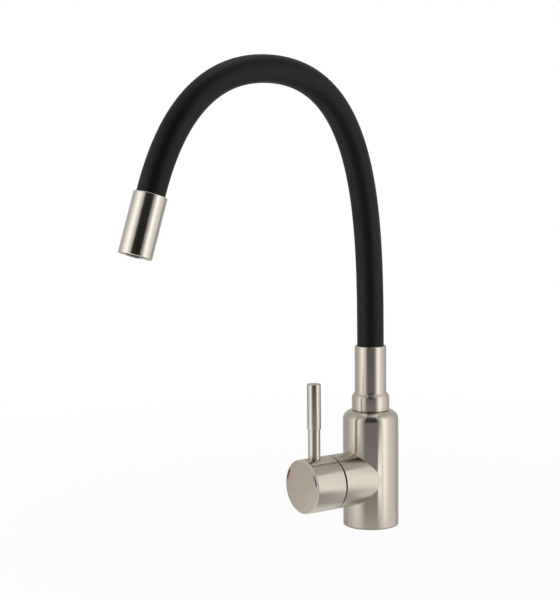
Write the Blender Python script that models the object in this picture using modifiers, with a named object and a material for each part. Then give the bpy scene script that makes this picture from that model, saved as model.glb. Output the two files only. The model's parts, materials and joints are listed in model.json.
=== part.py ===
import math

import bmesh
import bpy
from mathutils import Vector

# Sink mixer tap: a bottle-shaped body with a horizontal branch for the cartridge,
# a round handle cap with an upright pin, and a flexible arched spout that turns on the body.
# The origin is on the body's axis at the deck. Z is up. The branch and the spout point to -Y.

# Body sizes, in metres
body_diameter = 0.0500
body_height = 0.1050
shoulder_radius = 0.0085
base_edge_radius = 0.0016
fit_gap = 0.0003

# Branch and cartridge bore, distances measured out from the body's axis
branch_diameter = 0.0478
branch_height = 0.04465
branch_reach = 0.0457
branch_edge = 0.0004
cartridge_diameter = 0.0350
seat_reach = 0.0060
nut_seat_reach = 0.0300
nut_bore_diameter = 0.0410

# Water ways in the body
inlet_diameter = 0.0092
inlet_side = 0.0095
inlet_back = 0.0090
inlet_rise = 0.00645
stud_hole_diameter = 0.0068
stud_hole_depth = 0.0140
stud_hole_front = 0.0130
supply_port_diameter = 0.0048
mixed_port_diameter = 0.0058
riser_diameter = 0.0064
supply_port_side = 0.0062
supply_port_rise = 0.0045
mixed_port_drop = 0.0070
riser_back = 0.0005
gasket_inner_diameter = 0.0416
gasket_outer_diameter = 0.0454
gasket_depth = 0.0015

# Cartridge, distances measured out from the body's axis
base_front = 0.0120
disc_pocket_reach = 0.0090
fixed_disc_diameter = 0.0266
fixed_disc_thickness = 0.0033
moving_disc_diameter = 0.0230
moving_disc_thickness = 0.0035
mixing_pocket_diameter = 0.0124
mixing_pocket_depth = 0.0024
mixing_pocket_drop = 0.0036
carrier_diameter = 0.0208
carrier_thickness = 0.0048
carrier_socket_diameter = 0.0056
carrier_floor = 0.0012
shell_inner_diameter = 0.0306
shell_collar_diameter = 0.0276
shell_mouth_diameter = 0.0218
shell_collar_length = 0.0030
shell_lip_reach = 0.0256
rotor_flange_diameter = 0.0298
rotor_flange_reach = 0.0220
rotor_hub_diameter = 0.0210
rotor_hub_reach = 0.0350
rotor_slot_width = 0.0072
rotor_slot_length = 0.0136
pivot_reach = 0.0290
stem_ball_diameter = 0.0048
stem_arm = 0.0084
stem_neck_diameter = 0.0034
stem_block_width = 0.0066
stem_block_back = 0.0250
stem_square = 0.0070
stem_reach = 0.0640
pivot_pin_diameter = 0.0029
pivot_pin_length = 0.0190
seal_outer_diameter = 0.0094
seal_inner_diameter = 0.0060
seal_thickness = 0.0013
nut_outer_diameter = 0.0404
nut_inner_diameter = 0.0282
nut_length = 0.0107
nut_key_width = 0.0050
nut_key_depth = 0.0030

# Handle cap and lever pin, rises above the branch's axis
cap_diameter = 0.0480
cap_back_reach = 0.0471
cap_face_reach = 0.0779
cap_edge = 0.0009
cap_rim_wall = 0.0009
cap_wall = 0.0026
cap_rim_taper = 0.0040
cap_face_thickness = 0.0050
cap_hub_diameter = 0.0160
cap_hub_back_reach = 0.0520
pin_reach = 0.0641
pin_thin_diameter = 0.0108
pin_thick_diameter = 0.0123
pin_step_rise = 0.04975
pin_top_rise = 0.0901
pin_edge = 0.0007
pin_stud_diameter = 0.0050
pin_stud_length = 0.0088
pin_pad_diameter = 0.0130
pin_seat_depth = 0.0009
grub_diameter = 0.0038
grub_length = 0.0048
grub_reach = 0.0580
grub_key_diameter = 0.0020
grub_key_depth = 0.0022
mark_radius = 0.0211
mark_width = 0.0011
mark_depth = 0.0005
mark_low_angle = math.radians(11.0)
mark_high_angle = math.radians(36.0)

# Neck sleeve and spigot, heights above the body's top, places in the socket as shares of its depth
neck_ring_diameter = 0.0338
neck_ring_height = 0.0117
neck_flare_height = 0.0175
neck_diameter = 0.0284
neck_height = 0.05825
neck_lip_radius = 0.0007
neck_bore_diameter = 0.0245
neck_ring_edge = 0.0005
spigot_diameter = 0.0220
spigot_foot_gap = 0.0010
socket_floor_wall = 0.00565
socket_diameter = 0.0228
spigot_bore_diameter = 0.0064
spigot_barb_diameter = 0.0080
spigot_collar_diameter = 0.0238
spigot_collar_height = 0.0255
spigot_barb_height = 0.0405
o_ring_thickness = 0.0019
o_ring_groove_width = 0.0026
o_ring_groove_diameter = 0.0186
o_ring_depth_shares = (0.80, 0.56)
snap_depth_share = 0.28
snap_thickness = 0.0014
snap_inner_diameter = 0.0202
snap_outer_diameter = 0.0244
snap_groove_width = 0.0020
snap_groove_inner_diameter = 0.0196
snap_groove_outer_diameter = 0.0250
snap_opening_angle = math.radians(30.0)
glide_outer_diameter = 0.0262
glide_thickness = 0.0017

# Spout centreline in the plane of the branch: reach towards the user, rise above the neck's top
crown_reach = 0.11311
crown_rise = 0.24347
rise_handle = 0.11087
crown_rear_handle = 0.11162
crown_front_handle = 0.07743
outlet_handle = 0.03439
outlet_top_reach = 0.22698
outlet_top_rise = 0.14105
outlet_tilt = math.radians(17.7)

# Spout tubes, from the outside in
sleeve_diameter = 0.0239
sleeve_wall = 0.0024
gooseneck_diameter = 0.0184
gooseneck_wall = 0.0014
water_hose_diameter = 0.0140
water_hose_wall = 0.0025
ring_spacing = 0.0150
lower_bend_start_share = 0.16
lower_bend_end_share = 0.25
crown_bend_length_share = 0.09
outer_bend_start_share = 0.75
outer_bend_end_share = 0.84

# Outlet, lengths measured down from its top edge along its own axis
outlet_diameter = 0.0281
outlet_length = 0.0512
outlet_edge = 0.0007
outlet_hose_depth = 0.0220
outlet_bore_diameter = 0.0245
outlet_chamber_diameter = 0.0252
outlet_chamber_depth = 0.0300
adaptor_collar_diameter = 0.0238
adaptor_thread_diameter = 0.0246
adaptor_bottom_depth = 0.0370
adaptor_cup_diameter = 0.0180
adaptor_cup_depth = 0.0300
adaptor_barb_top_depth = 0.0100
aerator_seal_thickness = 0.0016
aerator_seal_inner_diameter = 0.0176
aerator_housing_inner_diameter = 0.0204
aerator_lip_diameter = 0.0190
aerator_lip_thickness = 0.0010
aerator_recess = 0.0008
aerator_hole_diameter = 0.0024
aerator_hole_ring_share = 0.58
aerator_hole_count = 8

# Steps around a turned piece
large_steps = 40
middle_steps = 24
small_steps = 14
tiny_steps = 10
sleeve_steps = 20
gooseneck_steps = 12
water_hose_steps = 10
arc_steps = 3


def remove_everything():
    for old in list(bpy.data.objects):
        bpy.data.objects.remove(old, do_unlink=True)


def new_collection(name):
    collection = bpy.data.collections.new(name)
    bpy.context.scene.collection.children.link(collection)
    return collection


def new_material(name, colour, roughness, metallic):
    material = bpy.data.materials.new(name)
    material.use_nodes = True
    shader = material.node_tree.nodes["Principled BSDF"]
    shader.inputs["Base Color"].default_value = (colour[0], colour[1], colour[2], 1.0)
    shader.inputs["Roughness"].default_value = roughness
    shader.inputs["Metallic"].default_value = metallic
    return material


remove_everything()
parts = new_collection("mixer_tap")
cutters = new_collection("cutters")

nickel = new_material("brushed_nickel", (0.38, 0.34, 0.29), 0.34, 1.0)
bright_nickel = new_material("polished_nickel", (0.42, 0.39, 0.35), 0.20, 1.0)
brass = new_material("plain_brass", (0.57, 0.40, 0.17), 0.35, 1.0)
steel = new_material("stainless_steel", (0.50, 0.50, 0.49), 0.32, 1.0)
silicone = new_material("black_silicone", (0.018, 0.017, 0.017), 0.55, 0.0)
rubber = new_material("black_rubber", (0.015, 0.015, 0.015), 0.70, 0.0)
ceramic = new_material("white_ceramic", (0.80, 0.79, 0.75), 0.25, 0.0)
shell_plastic = new_material("ivory_plastic", (0.62, 0.58, 0.48), 0.45, 0.0)
grey_plastic = new_material("grey_plastic", (0.25, 0.26, 0.27), 0.45, 0.0)
hose_rubber = new_material("hose_rubber", (0.05, 0.05, 0.055), 0.60, 0.0)
red_enamel = new_material("red_enamel", (0.45, 0.06, 0.04), 0.40, 0.0)
blue_enamel = new_material("blue_enamel", (0.04, 0.07, 0.28), 0.40, 0.0)


def new_object(name, mesh, material):
    thing = bpy.data.objects.new(name, mesh)
    if material is None:
        cutters.objects.link(thing)
        thing.hide_render = True
        thing.display_type = "WIRE"
    else:
        parts.objects.link(thing)
        mesh.materials.append(material)
    return thing


def new_axis(name, place, parent):
    # An empty on a joint's axis, which the pieces that turn about it hang from
    axis = bpy.data.objects.new(name, None)
    axis.empty_display_size = fit_gap
    parts.objects.link(axis)
    axis["place"] = tuple(place)
    if parent is None:
        axis.location = place
    else:
        axis.parent = parent
        axis.location = Vector(place) - Vector(parent["place"])
    return axis


def put(thing, parent, place, turn=(0.0, 0.0, 0.0)):
    # A place in the tap's own frame, held as an offset from the parent
    thing.rotation_euler = turn
    if parent is None:
        thing.location = place
    else:
        thing.parent = parent
        thing.location = Vector(place) - Vector(parent["place"])
    return thing


def shade(mesh):
    mesh.shade_smooth()
    mesh.set_sharp_from_angle(angle=math.radians(35.0))


def turned(name, profile, steps, material, closed):
    # A profile of radius and height pairs turned round Z.
    # It runs down the outer side, and back up the inner side where it is closed.
    mesh = bpy.data.meshes.new(name)
    points = [(radius, 0.0, height) for radius, height in profile]
    edges = [(i, i + 1) for i in range(len(points) - 1)]
    if closed:
        edges.append((len(points) - 1, 0))
    mesh.from_pydata(points, edges, [])
    thing = new_object(name, mesh, material)
    screw = thing.modifiers.new("turning", "SCREW")
    screw.axis = "Z"
    screw.angle = math.tau
    screw.steps = steps
    screw.render_steps = steps
    screw.use_merge_vertices = True
    screw.merge_threshold = 0.00001
    screw.use_smooth_shade = True
    return thing


def arc(centre, radius, start, end, steps):
    # Points of a round edge, centre and angles in the profile's plane
    points = []
    for i in range(steps + 1):
        angle = start + (end - start) * i / steps
        points.append((centre[0] + radius * math.cos(angle), centre[1] + radius * math.sin(angle)))
    return points


def rod_profile(radius, top, bottom, edge):
    # A solid round bar with a chamfer at both ends
    return [(0.0, top), (radius - edge, top), (radius, top - edge),
            (radius, bottom + edge), (radius - edge, bottom), (0.0, bottom)]


def plain_profile(radius, top, bottom):
    return [(0.0, top), (radius, top), (radius, bottom), (0.0, bottom)]


def ring_profile(outer, inner, top, bottom):
    return [(outer, top), (outer, bottom), (inner, bottom), (inner, top)]


def drill(name, radius, length, steps):
    # A cylinder cutter that starts at its origin and runs along +Z
    return turned(name, plain_profile(radius, length, 0.0), steps, None, False)


def block(name, size, material):
    mesh = bpy.data.meshes.new(name)
    shape = bmesh.new()
    bmesh.ops.create_cube(shape, size=1.0)
    bmesh.ops.scale(shape, vec=size, verts=shape.verts)
    shape.to_mesh(mesh)
    shape.free()
    return new_object(name, mesh, material)


def combine(thing, other, operation):
    step = thing.modifiers.new(other.name, "BOOLEAN")
    step.operation = operation
    step.solver = "EXACT"
    step.object = other
    return step


def swept_arc(name, outer, inner, bottom, top, start, angle, steps, material):
    # A ring segment about Z with flat ends
    mesh = bpy.data.meshes.new(name)
    shape = bmesh.new()
    corners = [(outer, top), (outer, bottom), (inner, bottom), (inner, top)]
    spread = [(r * math.cos(start), r * math.sin(start), h) for r, h in corners]
    face = shape.faces.new([shape.verts.new(point) for point in spread])
    bmesh.ops.spin(shape, geom=[face] + list(face.edges) + list(face.verts), cent=(0.0, 0.0, 0.0),
                   axis=(0.0, 0.0, 1.0), angle=angle, steps=steps, use_merge=False)
    bmesh.ops.recalc_face_normals(shape, faces=shape.faces)
    shape.to_mesh(mesh)
    shape.free()
    return new_object(name, mesh, material)


# Along the branch, a piece's own +Z points out to the user and its own +Y points up
along_branch = (math.radians(90.0), 0.0, 0.0)
branch_centre = (0.0, 0.0, branch_height)

swivel_axis = new_axis("swivel_axis", (0.0, 0.0, body_height), None)
temperature_axis = new_axis("temperature_axis", (0.0, -pivot_reach, branch_height), None)
flow_axis = new_axis("flow_axis", (0.0, -pivot_reach, branch_height), temperature_axis)

# Body casting
radius = body_diameter / 2
shoulder = arc((radius - shoulder_radius, body_height - shoulder_radius), shoulder_radius,
               math.radians(90.0), 0.0, arc_steps * 2)
foot = arc((radius - base_edge_radius, base_edge_radius), base_edge_radius,
           0.0, math.radians(-90.0), arc_steps)
body = turned("body_casting", [(0.0, body_height)] + shoulder + foot + [(0.0, 0.0)],
              large_steps, nickel, False)

branch_radius = branch_diameter / 2
branch_profile = [(0.0, branch_reach), (branch_radius - branch_edge, branch_reach),
                  (branch_radius, branch_reach - branch_edge), (branch_radius, 0.0), (0.0, 0.0)]
branch = turned("branch_form", branch_profile, large_steps, None, False)
put(branch, None, branch_centre, along_branch)
combine(body, branch, "UNION")

cartridge_bore_radius = cartridge_diameter / 2 + fit_gap
bore_profile = [(0.0, branch_reach + cap_wall), (nut_bore_diameter / 2, branch_reach + cap_wall),
                (nut_bore_diameter / 2, nut_seat_reach), (cartridge_bore_radius, nut_seat_reach),
                (cartridge_bore_radius, seat_reach), (0.0, seat_reach)]
bore = turned("cartridge_bore", bore_profile, large_steps, None, False)
put(bore, None, branch_centre, along_branch)
combine(body, bore, "DIFFERENCE")

# Spout socket with the recess for the glide ring and the groove for the snap ring
socket_radius = socket_diameter / 2
socket_floor = branch_height + cartridge_bore_radius + socket_floor_wall
socket_depth = body_height - socket_floor
snap_height = body_height - snap_depth_share * socket_depth
o_ring_heights = [body_height - share * socket_depth for share in o_ring_depth_shares]
glide_floor = body_height - glide_thickness - fit_gap
snap_half = snap_groove_width / 2
socket_profile = [(0.0, body_height + cap_wall), (glide_outer_diameter / 2 + fit_gap, body_height + cap_wall),
                  (glide_outer_diameter / 2 + fit_gap, glide_floor), (socket_radius, glide_floor),
                  (socket_radius, snap_height + snap_half),
                  (snap_groove_outer_diameter / 2, snap_height + snap_half),
                  (snap_groove_outer_diameter / 2, snap_height - snap_half),
                  (socket_radius, snap_height - snap_half), (socket_radius, socket_floor),
                  (0.0, socket_floor)]
socket = turned("spout_socket", socket_profile, middle_steps, None, False)
combine(body, socket, "DIFFERENCE")

# Mixed water: a port behind the cartridge seat and a riser to the spout socket
port_length = seat_reach + riser_back
mixed_port = drill("mixed_port", mixed_port_diameter / 2, port_length + fit_gap, small_steps)
put(mixed_port, None, (0.0, riser_back, branch_height - mixed_port_drop), along_branch)
combine(body, mixed_port, "DIFFERENCE")
riser_foot = branch_height - mixed_port_drop - riser_diameter / 2 - fit_gap
riser = drill("mixed_riser", riser_diameter / 2, socket_floor + fit_gap - riser_foot, small_steps)
put(riser, None, (0.0, riser_back, riser_foot))
combine(body, riser, "DIFFERENCE")

# Hot and cold water: an inlet from below and a port behind the cartridge seat on each side
for side, side_name in ((-1.0, "hot"), (1.0, "cold")):
    inlet = drill(side_name + "_inlet", inlet_diameter / 2, branch_height + inlet_rise + fit_gap, small_steps)
    put(inlet, None, (side * inlet_side, inlet_back, -fit_gap))
    combine(body, inlet, "DIFFERENCE")
    port = drill(side_name + "_port", supply_port_diameter / 2, seat_reach + inlet_back + fit_gap,
                 small_steps)
    put(port, None, (side * supply_port_side, inlet_back, branch_height + supply_port_rise), along_branch)
    combine(body, port, "DIFFERENCE")

stud_hole = drill("stud_hole", stud_hole_diameter / 2, stud_hole_depth + fit_gap, small_steps)
put(stud_hole, None, (0.0, -stud_hole_front, -fit_gap))
combine(body, stud_hole, "DIFFERENCE")

gasket_outer = gasket_outer_diameter / 2
gasket_inner = gasket_inner_diameter / 2
groove = turned("gasket_groove", ring_profile(gasket_outer + fit_gap, gasket_inner - fit_gap,
                gasket_depth + fit_gap, -fit_gap), large_steps, None, True)
combine(body, groove, "DIFFERENCE")
turned("base_gasket", ring_profile(gasket_outer, gasket_inner, gasket_depth, 0.0), large_steps, rubber, True)

# Cartridge base with three ports, their seals behind it and the fixed disc in front
cartridge_radius = cartridge_diameter / 2
ports = (("hot", -supply_port_side, supply_port_rise, supply_port_diameter),
         ("cold", supply_port_side, supply_port_rise, supply_port_diameter),
         ("mixed", 0.0, -mixed_port_drop, mixed_port_diameter))
base_back = seat_reach + fit_gap
pocket_radius = fixed_disc_diameter / 2 + fit_gap
base_profile = [(cartridge_radius, base_front), (cartridge_radius, base_back), (0.0, base_back)]
cartridge_base = turned("cartridge_base", [(0.0, disc_pocket_reach), (pocket_radius, disc_pocket_reach),
                        (pocket_radius, base_front)] + base_profile, middle_steps, shell_plastic, False)
put(cartridge_base, None, branch_centre, along_branch)

fixed_back = disc_pocket_reach + fit_gap
fixed_front = fixed_back + fixed_disc_thickness
fixed_disc = turned("fixed_ceramic_disc", plain_profile(fixed_disc_diameter / 2, fixed_front, fixed_back),
                    middle_steps, ceramic, False)
put(fixed_disc, None, branch_centre, along_branch)

for port_name, port_x, port_y, port_diameter in ports:
    through = drill(port_name + "_way", port_diameter / 2, fixed_front, small_steps)
    put(through, None, (port_x, 0.0, branch_height + port_y), along_branch)
    through.location.y = -seat_reach + fit_gap
    seal_pocket = drill(port_name + "_seal_pocket", seal_outer_diameter / 2 + fit_gap,
                        seal_thickness + fit_gap * 2, small_steps)
    put(seal_pocket, None, (port_x, -seat_reach, branch_height + port_y), along_branch)
    combine(cartridge_base, seal_pocket, "DIFFERENCE")
    combine(cartridge_base, through, "DIFFERENCE")
    combine(fixed_disc, through, "DIFFERENCE")
    seal = turned(port_name + "_port_seal", ring_profile(seal_outer_diameter / 2, seal_inner_diameter / 2,
                  base_back + seal_thickness, base_back), small_steps, rubber, True)
    put(seal, None, (port_x, 0.0, branch_height + port_y), along_branch)

# Moving disc with its mixing pocket, and the carrier that the stem drags
moving_back = fixed_front + fit_gap
moving_front = moving_back + moving_disc_thickness
moving_profile = plain_profile(moving_disc_diameter / 2, moving_front, moving_back)
moving_disc = turned("moving_ceramic_disc", moving_profile, middle_steps, ceramic, False)
put(moving_disc, temperature_axis, branch_centre, along_branch)
mixing_pocket = drill("mixing_pocket", mixing_pocket_diameter / 2, mixing_pocket_depth + fit_gap, small_steps)
put(mixing_pocket, None, (0.0, -moving_back + fit_gap, branch_height - mixing_pocket_drop), along_branch)
combine(moving_disc, mixing_pocket, "DIFFERENCE")

carrier_back = moving_front + fit_gap
carrier_front = carrier_back + carrier_thickness
carrier = turned("disc_carrier", plain_profile(carrier_diameter / 2, carrier_front, carrier_back),
                 middle_steps, grey_plastic, False)
put(carrier, temperature_axis, branch_centre, along_branch)
carrier_socket = drill("carrier_socket", carrier_socket_diameter / 2, carrier_thickness, small_steps)
put(carrier_socket, None, (0.0, -carrier_back - carrier_floor, branch_height), along_branch)
combine(carrier, carrier_socket, "DIFFERENCE")

# Shell that holds the turning rotor, and the nut that clamps the cartridge in the branch
shell_back = base_front + fit_gap
shell_profile = [(shell_collar_diameter / 2, nut_seat_reach + shell_collar_length),
                 (shell_collar_diameter / 2, nut_seat_reach), (cartridge_radius, nut_seat_reach),
                 (cartridge_radius, shell_back), (shell_inner_diameter / 2, shell_back),
                 (shell_inner_diameter / 2, shell_lip_reach), (shell_mouth_diameter / 2, shell_lip_reach),
                 (shell_mouth_diameter / 2, nut_seat_reach + shell_collar_length)]
shell = turned("cartridge_shell", shell_profile, middle_steps, shell_plastic, True)
put(shell, None, branch_centre, along_branch)

nut_back = nut_seat_reach + fit_gap
nut_front = nut_back + nut_length
nut_profile = ring_profile(nut_outer_diameter / 2, nut_inner_diameter / 2, nut_front, nut_back)
nut = turned("cartridge_nut", nut_profile, large_steps, brass, True)
put(nut, None, branch_centre, along_branch)
key_size = (nut_outer_diameter + cap_wall, nut_key_width, nut_key_depth * 2)
for key_turn in (0.0, math.radians(90.0)):
    key_slot = block("nut_key_slot", key_size, None)
    put(key_slot, None, (0.0, -nut_front, branch_height), (math.radians(90.0), key_turn, 0.0))
    combine(nut, key_slot, "DIFFERENCE")

# Rotor with the slot and the pivot for the stem
flange_radius = rotor_flange_diameter / 2
hub_radius = rotor_hub_diameter / 2
rotor_profile = [(0.0, rotor_hub_reach), (hub_radius, rotor_hub_reach),
                 (hub_radius, shell_lip_reach - fit_gap), (flange_radius, shell_lip_reach - fit_gap),
                 (flange_radius, rotor_flange_reach), (0.0, rotor_flange_reach)]
rotor = turned("cartridge_rotor", rotor_profile, middle_steps, grey_plastic, False)
put(rotor, temperature_axis, branch_centre, along_branch)
slot = block("rotor_slot", (rotor_slot_width, rotor_hub_reach, rotor_slot_length), None)
put(slot, None, (0.0, -pivot_reach, branch_height))
combine(rotor, slot, "DIFFERENCE")
across = (0.0, math.radians(90.0), 0.0)
pin_hole = drill("pivot_hole", pivot_pin_diameter / 2 + fit_gap, rotor_hub_diameter + cap_wall, tiny_steps)
put(pin_hole, None, (-(rotor_hub_diameter + cap_wall) / 2, -pivot_reach, branch_height), across)
combine(rotor, pin_hole, "DIFFERENCE")
pivot_pin = turned("stem_pivot_pin", plain_profile(pivot_pin_diameter / 2, pivot_pin_length, 0.0),
                   tiny_steps, steel, False)
put(pivot_pin, temperature_axis, (-pivot_pin_length / 2, -pivot_reach, branch_height), across)

# Stem: a ball in the carrier, a block on the pivot and a square bar for the cap
ball_radius = stem_ball_diameter / 2
ball_reach = pivot_reach - stem_arm
neck_angle = math.asin(stem_neck_diameter / stem_ball_diameter)
ball = arc((0.0, ball_reach), ball_radius, math.radians(90.0) - neck_angle, math.radians(-90.0),
           arc_steps * 2)
stem_profile = [(0.0, pivot_reach), (stem_neck_diameter / 2, pivot_reach)] + ball[:-1]
stem_profile.append((0.0, ball_reach - ball_radius))
stem = turned("cartridge_stem", stem_profile, tiny_steps, steel, False)
put(stem, flow_axis, branch_centre, along_branch)
block_front = rotor_hub_reach
stem_block = block("stem_block", (stem_block_width, block_front - stem_block_back, stem_square), None)
put(stem_block, None, (0.0, -(block_front + stem_block_back) / 2, branch_height))
combine(stem, stem_block, "UNION")
bar_back = block_front - fit_gap
stem_bar = block("stem_bar", (stem_square, stem_reach - bar_back, stem_square), None)
put(stem_bar, None, (0.0, -(stem_reach + bar_back) / 2, branch_height))
combine(stem, stem_bar, "UNION")
stem_hole = drill("stem_hole", pivot_pin_diameter / 2 + fit_gap, rotor_hub_diameter, tiny_steps)
put(stem_hole, None, (-rotor_hub_diameter / 2, -pivot_reach, branch_height), across)
combine(stem, stem_hole, "DIFFERENCE")

# Handle cap: a cup with a thin rear rim, a hub for the stem and a pad for the lever pin
cap_radius = cap_diameter / 2
cavity_front = cap_face_reach - cap_face_thickness
cap_profile = [(0.0, cap_face_reach), (cap_radius - cap_edge, cap_face_reach),
               (cap_radius, cap_face_reach - cap_edge), (cap_radius, cap_back_reach),
               (cap_radius - cap_rim_wall, cap_back_reach),
               (cap_radius - cap_wall, cap_back_reach + cap_rim_taper),
               (cap_radius - cap_wall, cavity_front), (0.0, cavity_front)]
cap = turned("handle_cap", cap_profile, large_steps, nickel, False)
put(cap, flow_axis, branch_centre, along_branch)
cap_hub = drill("cap_hub", cap_hub_diameter / 2, cavity_front + fit_gap - cap_hub_back_reach, small_steps)
put(cap_hub, None, (0.0, -cap_hub_back_reach, branch_height), along_branch)
combine(cap, cap_hub, "UNION")
pin_pad = drill("pin_pad", pin_pad_diameter / 2, cap_radius - cap_edge - stem_square, small_steps)
put(pin_pad, None, (0.0, -pin_reach, branch_height + stem_square))
combine(cap, pin_pad, "UNION")
stem_socket = block("stem_socket", (stem_square + fit_gap * 2, stem_reach + fit_gap - cap_back_reach,
                    stem_square + fit_gap * 2), None)
put(stem_socket, None, (0.0, -(stem_reach + fit_gap + cap_back_reach) / 2, branch_height))
combine(cap, stem_socket, "DIFFERENCE")
pin_seat = drill("pin_seat", pin_thin_diameter / 2 + fit_gap, pin_thick_diameter, middle_steps)
put(pin_seat, None, (0.0, -pin_reach, branch_height + cap_radius - pin_seat_depth))
combine(cap, pin_seat, "DIFFERENCE")
stud_foot = cap_radius - pin_seat_depth + fit_gap - pin_stud_length
pin_thread = drill("pin_thread", pin_stud_diameter / 2 + fit_gap, pin_stud_length + fit_gap, small_steps)
put(pin_thread, None, (0.0, -pin_reach, branch_height + stud_foot - fit_gap))
combine(cap, pin_thread, "DIFFERENCE")
grub_hole = drill("grub_hole", grub_diameter / 2 + fit_gap, cap_radius + fit_gap, small_steps)
put(grub_hole, None, (0.0, -grub_reach, branch_height - cap_radius - fit_gap))
combine(cap, grub_hole, "DIFFERENCE")

# Lever pin: a stud in the cap, a thinner lower part and a thicker grip
pin_foot = branch_height + cap_radius - pin_seat_depth + fit_gap
pin_step_height = branch_height + pin_step_rise
pin_top_height = branch_height + pin_top_rise
thin = pin_thin_diameter / 2
thick = pin_thick_diameter / 2
pin_profile = [(0.0, pin_top_height), (thick - pin_edge, pin_top_height), (thick, pin_top_height - pin_edge),
               (thick, pin_step_height + pin_edge), (thick - pin_edge, pin_step_height),
               (thin, pin_step_height), (thin, pin_foot), (pin_stud_diameter / 2, pin_foot),
               (pin_stud_diameter / 2, pin_foot - pin_stud_length), (0.0, pin_foot - pin_stud_length)]
lever_pin = turned("lever_pin", pin_profile, middle_steps, nickel, False)
put(lever_pin, flow_axis, (0.0, -pin_reach, 0.0))

# Grub screw from below, against the stem
grub_top = branch_height - stem_square / 2 - fit_gap
grub = turned("cap_grub_screw", plain_profile(grub_diameter / 2, grub_top, grub_top - grub_length),
              tiny_steps, steel, False)
put(grub, flow_axis, (0.0, -grub_reach, 0.0))
grub_key = drill("grub_key", grub_key_diameter / 2, grub_key_depth + fit_gap, 6)
put(grub_key, None, (0.0, -grub_reach, grub_top - grub_length - fit_gap))
combine(grub, grub_key, "DIFFERENCE")

# Red and blue marks, filled into two short grooves in the cap's face
mark_span = mark_high_angle - mark_low_angle
for mark_name, mark_start, mark_material in (("cold_mark", mark_low_angle, blue_enamel),
                                             ("hot_mark", math.pi - mark_high_angle, red_enamel)):
    extra = fit_gap / 3
    angle_extra = extra / mark_radius
    mark_groove = swept_arc(mark_name + "_groove", mark_radius + mark_width / 2 + extra,
                            mark_radius - mark_width / 2 - extra, cap_face_reach - mark_depth - extra,
                            cap_face_reach + mark_depth, mark_start - angle_extra,
                            mark_span + angle_extra * 2, arc_steps * 2, None)
    put(mark_groove, None, branch_centre, along_branch)
    combine(cap, mark_groove, "DIFFERENCE")
    mark = swept_arc(mark_name, mark_radius + mark_width / 2, mark_radius - mark_width / 2,
                     cap_face_reach - mark_depth, cap_face_reach, mark_start, mark_span,
                     arc_steps * 2, mark_material)
    put(mark, flow_axis, branch_centre, along_branch)

# Neck sleeve
ring_bottom = body_height + fit_gap
neck_ring_top = body_height + neck_ring_height
neck_flare_top = body_height + neck_flare_height
neck_top = body_height + neck_height
ring_radius = neck_ring_diameter / 2
neck_radius = neck_diameter / 2
neck_bore = neck_bore_diameter / 2
lip_middle = neck_radius - neck_lip_radius
lip = arc((lip_middle, neck_top - neck_lip_radius), neck_lip_radius, math.radians(90.0), 0.0, arc_steps - 1)
flare = []
for i in range(1, arc_steps * 2):
    share = i / (arc_steps * 2)
    drop = (1.0 - math.cos(math.pi * share)) / 2
    flare.append((neck_radius + (ring_radius - neck_radius) * drop,
                  neck_flare_top + (neck_ring_top - neck_flare_top) * share))
neck_profile = [(neck_bore + neck_lip_radius / 2, neck_top)] + lip + [(neck_radius, neck_flare_top)] + flare
neck_profile += [(ring_radius, neck_ring_top), (ring_radius, ring_bottom + neck_ring_edge),
                 (ring_radius - neck_ring_edge, ring_bottom), (neck_bore, ring_bottom),
                 (neck_bore, neck_top - neck_lip_radius / 2)]
neck_sleeve = turned("neck_sleeve", neck_profile, large_steps, nickel, True)
put(neck_sleeve, swivel_axis, (0.0, 0.0, 0.0))

# Spigot that turns in the body's socket
spigot = spigot_diameter / 2
spigot_foot = socket_floor + spigot_foot_gap
spigot_collar_top = body_height + spigot_collar_height
spigot_barb_top = body_height + spigot_barb_height
collar = spigot_collar_diameter / 2
groove_radius = o_ring_groove_diameter / 2
half_groove = o_ring_groove_width / 2
spigot_profile = [(spigot_barb_diameter / 2, spigot_barb_top),
                  (spigot_barb_diameter / 2, spigot_collar_top),
                  (collar, spigot_collar_top), (collar, ring_bottom), (spigot, ring_bottom),
                  (spigot, snap_height + snap_half),
                  (snap_groove_inner_diameter / 2, snap_height + snap_half),
                  (snap_groove_inner_diameter / 2, snap_height - snap_half),
                  (spigot, snap_height - snap_half)]
for ring_height in sorted(o_ring_heights, reverse=True):
    spigot_profile += [(spigot, ring_height + half_groove), (groove_radius, ring_height + half_groove),
                       (groove_radius, ring_height - half_groove), (spigot, ring_height - half_groove)]
spigot_profile += [(spigot, spigot_foot), (spigot_bore_diameter / 2, spigot_foot),
                   (spigot_bore_diameter / 2, spigot_barb_top)]
spout_spigot = turned("spout_spigot", spigot_profile, middle_steps, brass, True)
put(spout_spigot, swivel_axis, (0.0, 0.0, 0.0))

ring_middle = (socket_radius + groove_radius) / 2
for ring_name, ring_height in (("lower_o_ring", o_ring_heights[0]), ("upper_o_ring", o_ring_heights[1])):
    cross = arc((ring_middle, ring_height), o_ring_thickness / 2 - fit_gap / 3, math.radians(90.0),
                math.radians(-270.0), arc_steps * 2)
    o_ring = turned(ring_name, cross[:-1], middle_steps, rubber, True)
    put(o_ring, swivel_axis, (0.0, 0.0, 0.0))

glide_ring = turned("swivel_glide_ring", ring_profile(glide_outer_diameter / 2, spigot + fit_gap,
                    body_height, body_height - glide_thickness), middle_steps, shell_plastic, True)
put(glide_ring, None, (0.0, 0.0, 0.0))

snap_start = math.radians(-90.0) + snap_opening_angle / 2
snap_ring = swept_arc("swivel_snap_ring", snap_outer_diameter / 2, snap_inner_diameter / 2,
                      snap_height - snap_thickness / 2, snap_height + snap_thickness / 2,
                      snap_start, math.tau - snap_opening_angle, middle_steps, steel)
put(snap_ring, swivel_axis, (0.0, 0.0, 0.0))


def bezier_point(points, share):
    a, b, c, d = points
    rest = 1.0 - share
    return a * rest ** 3 + b * 3.0 * share * rest ** 2 + c * 3.0 * share ** 2 * rest + d * share ** 3


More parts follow.
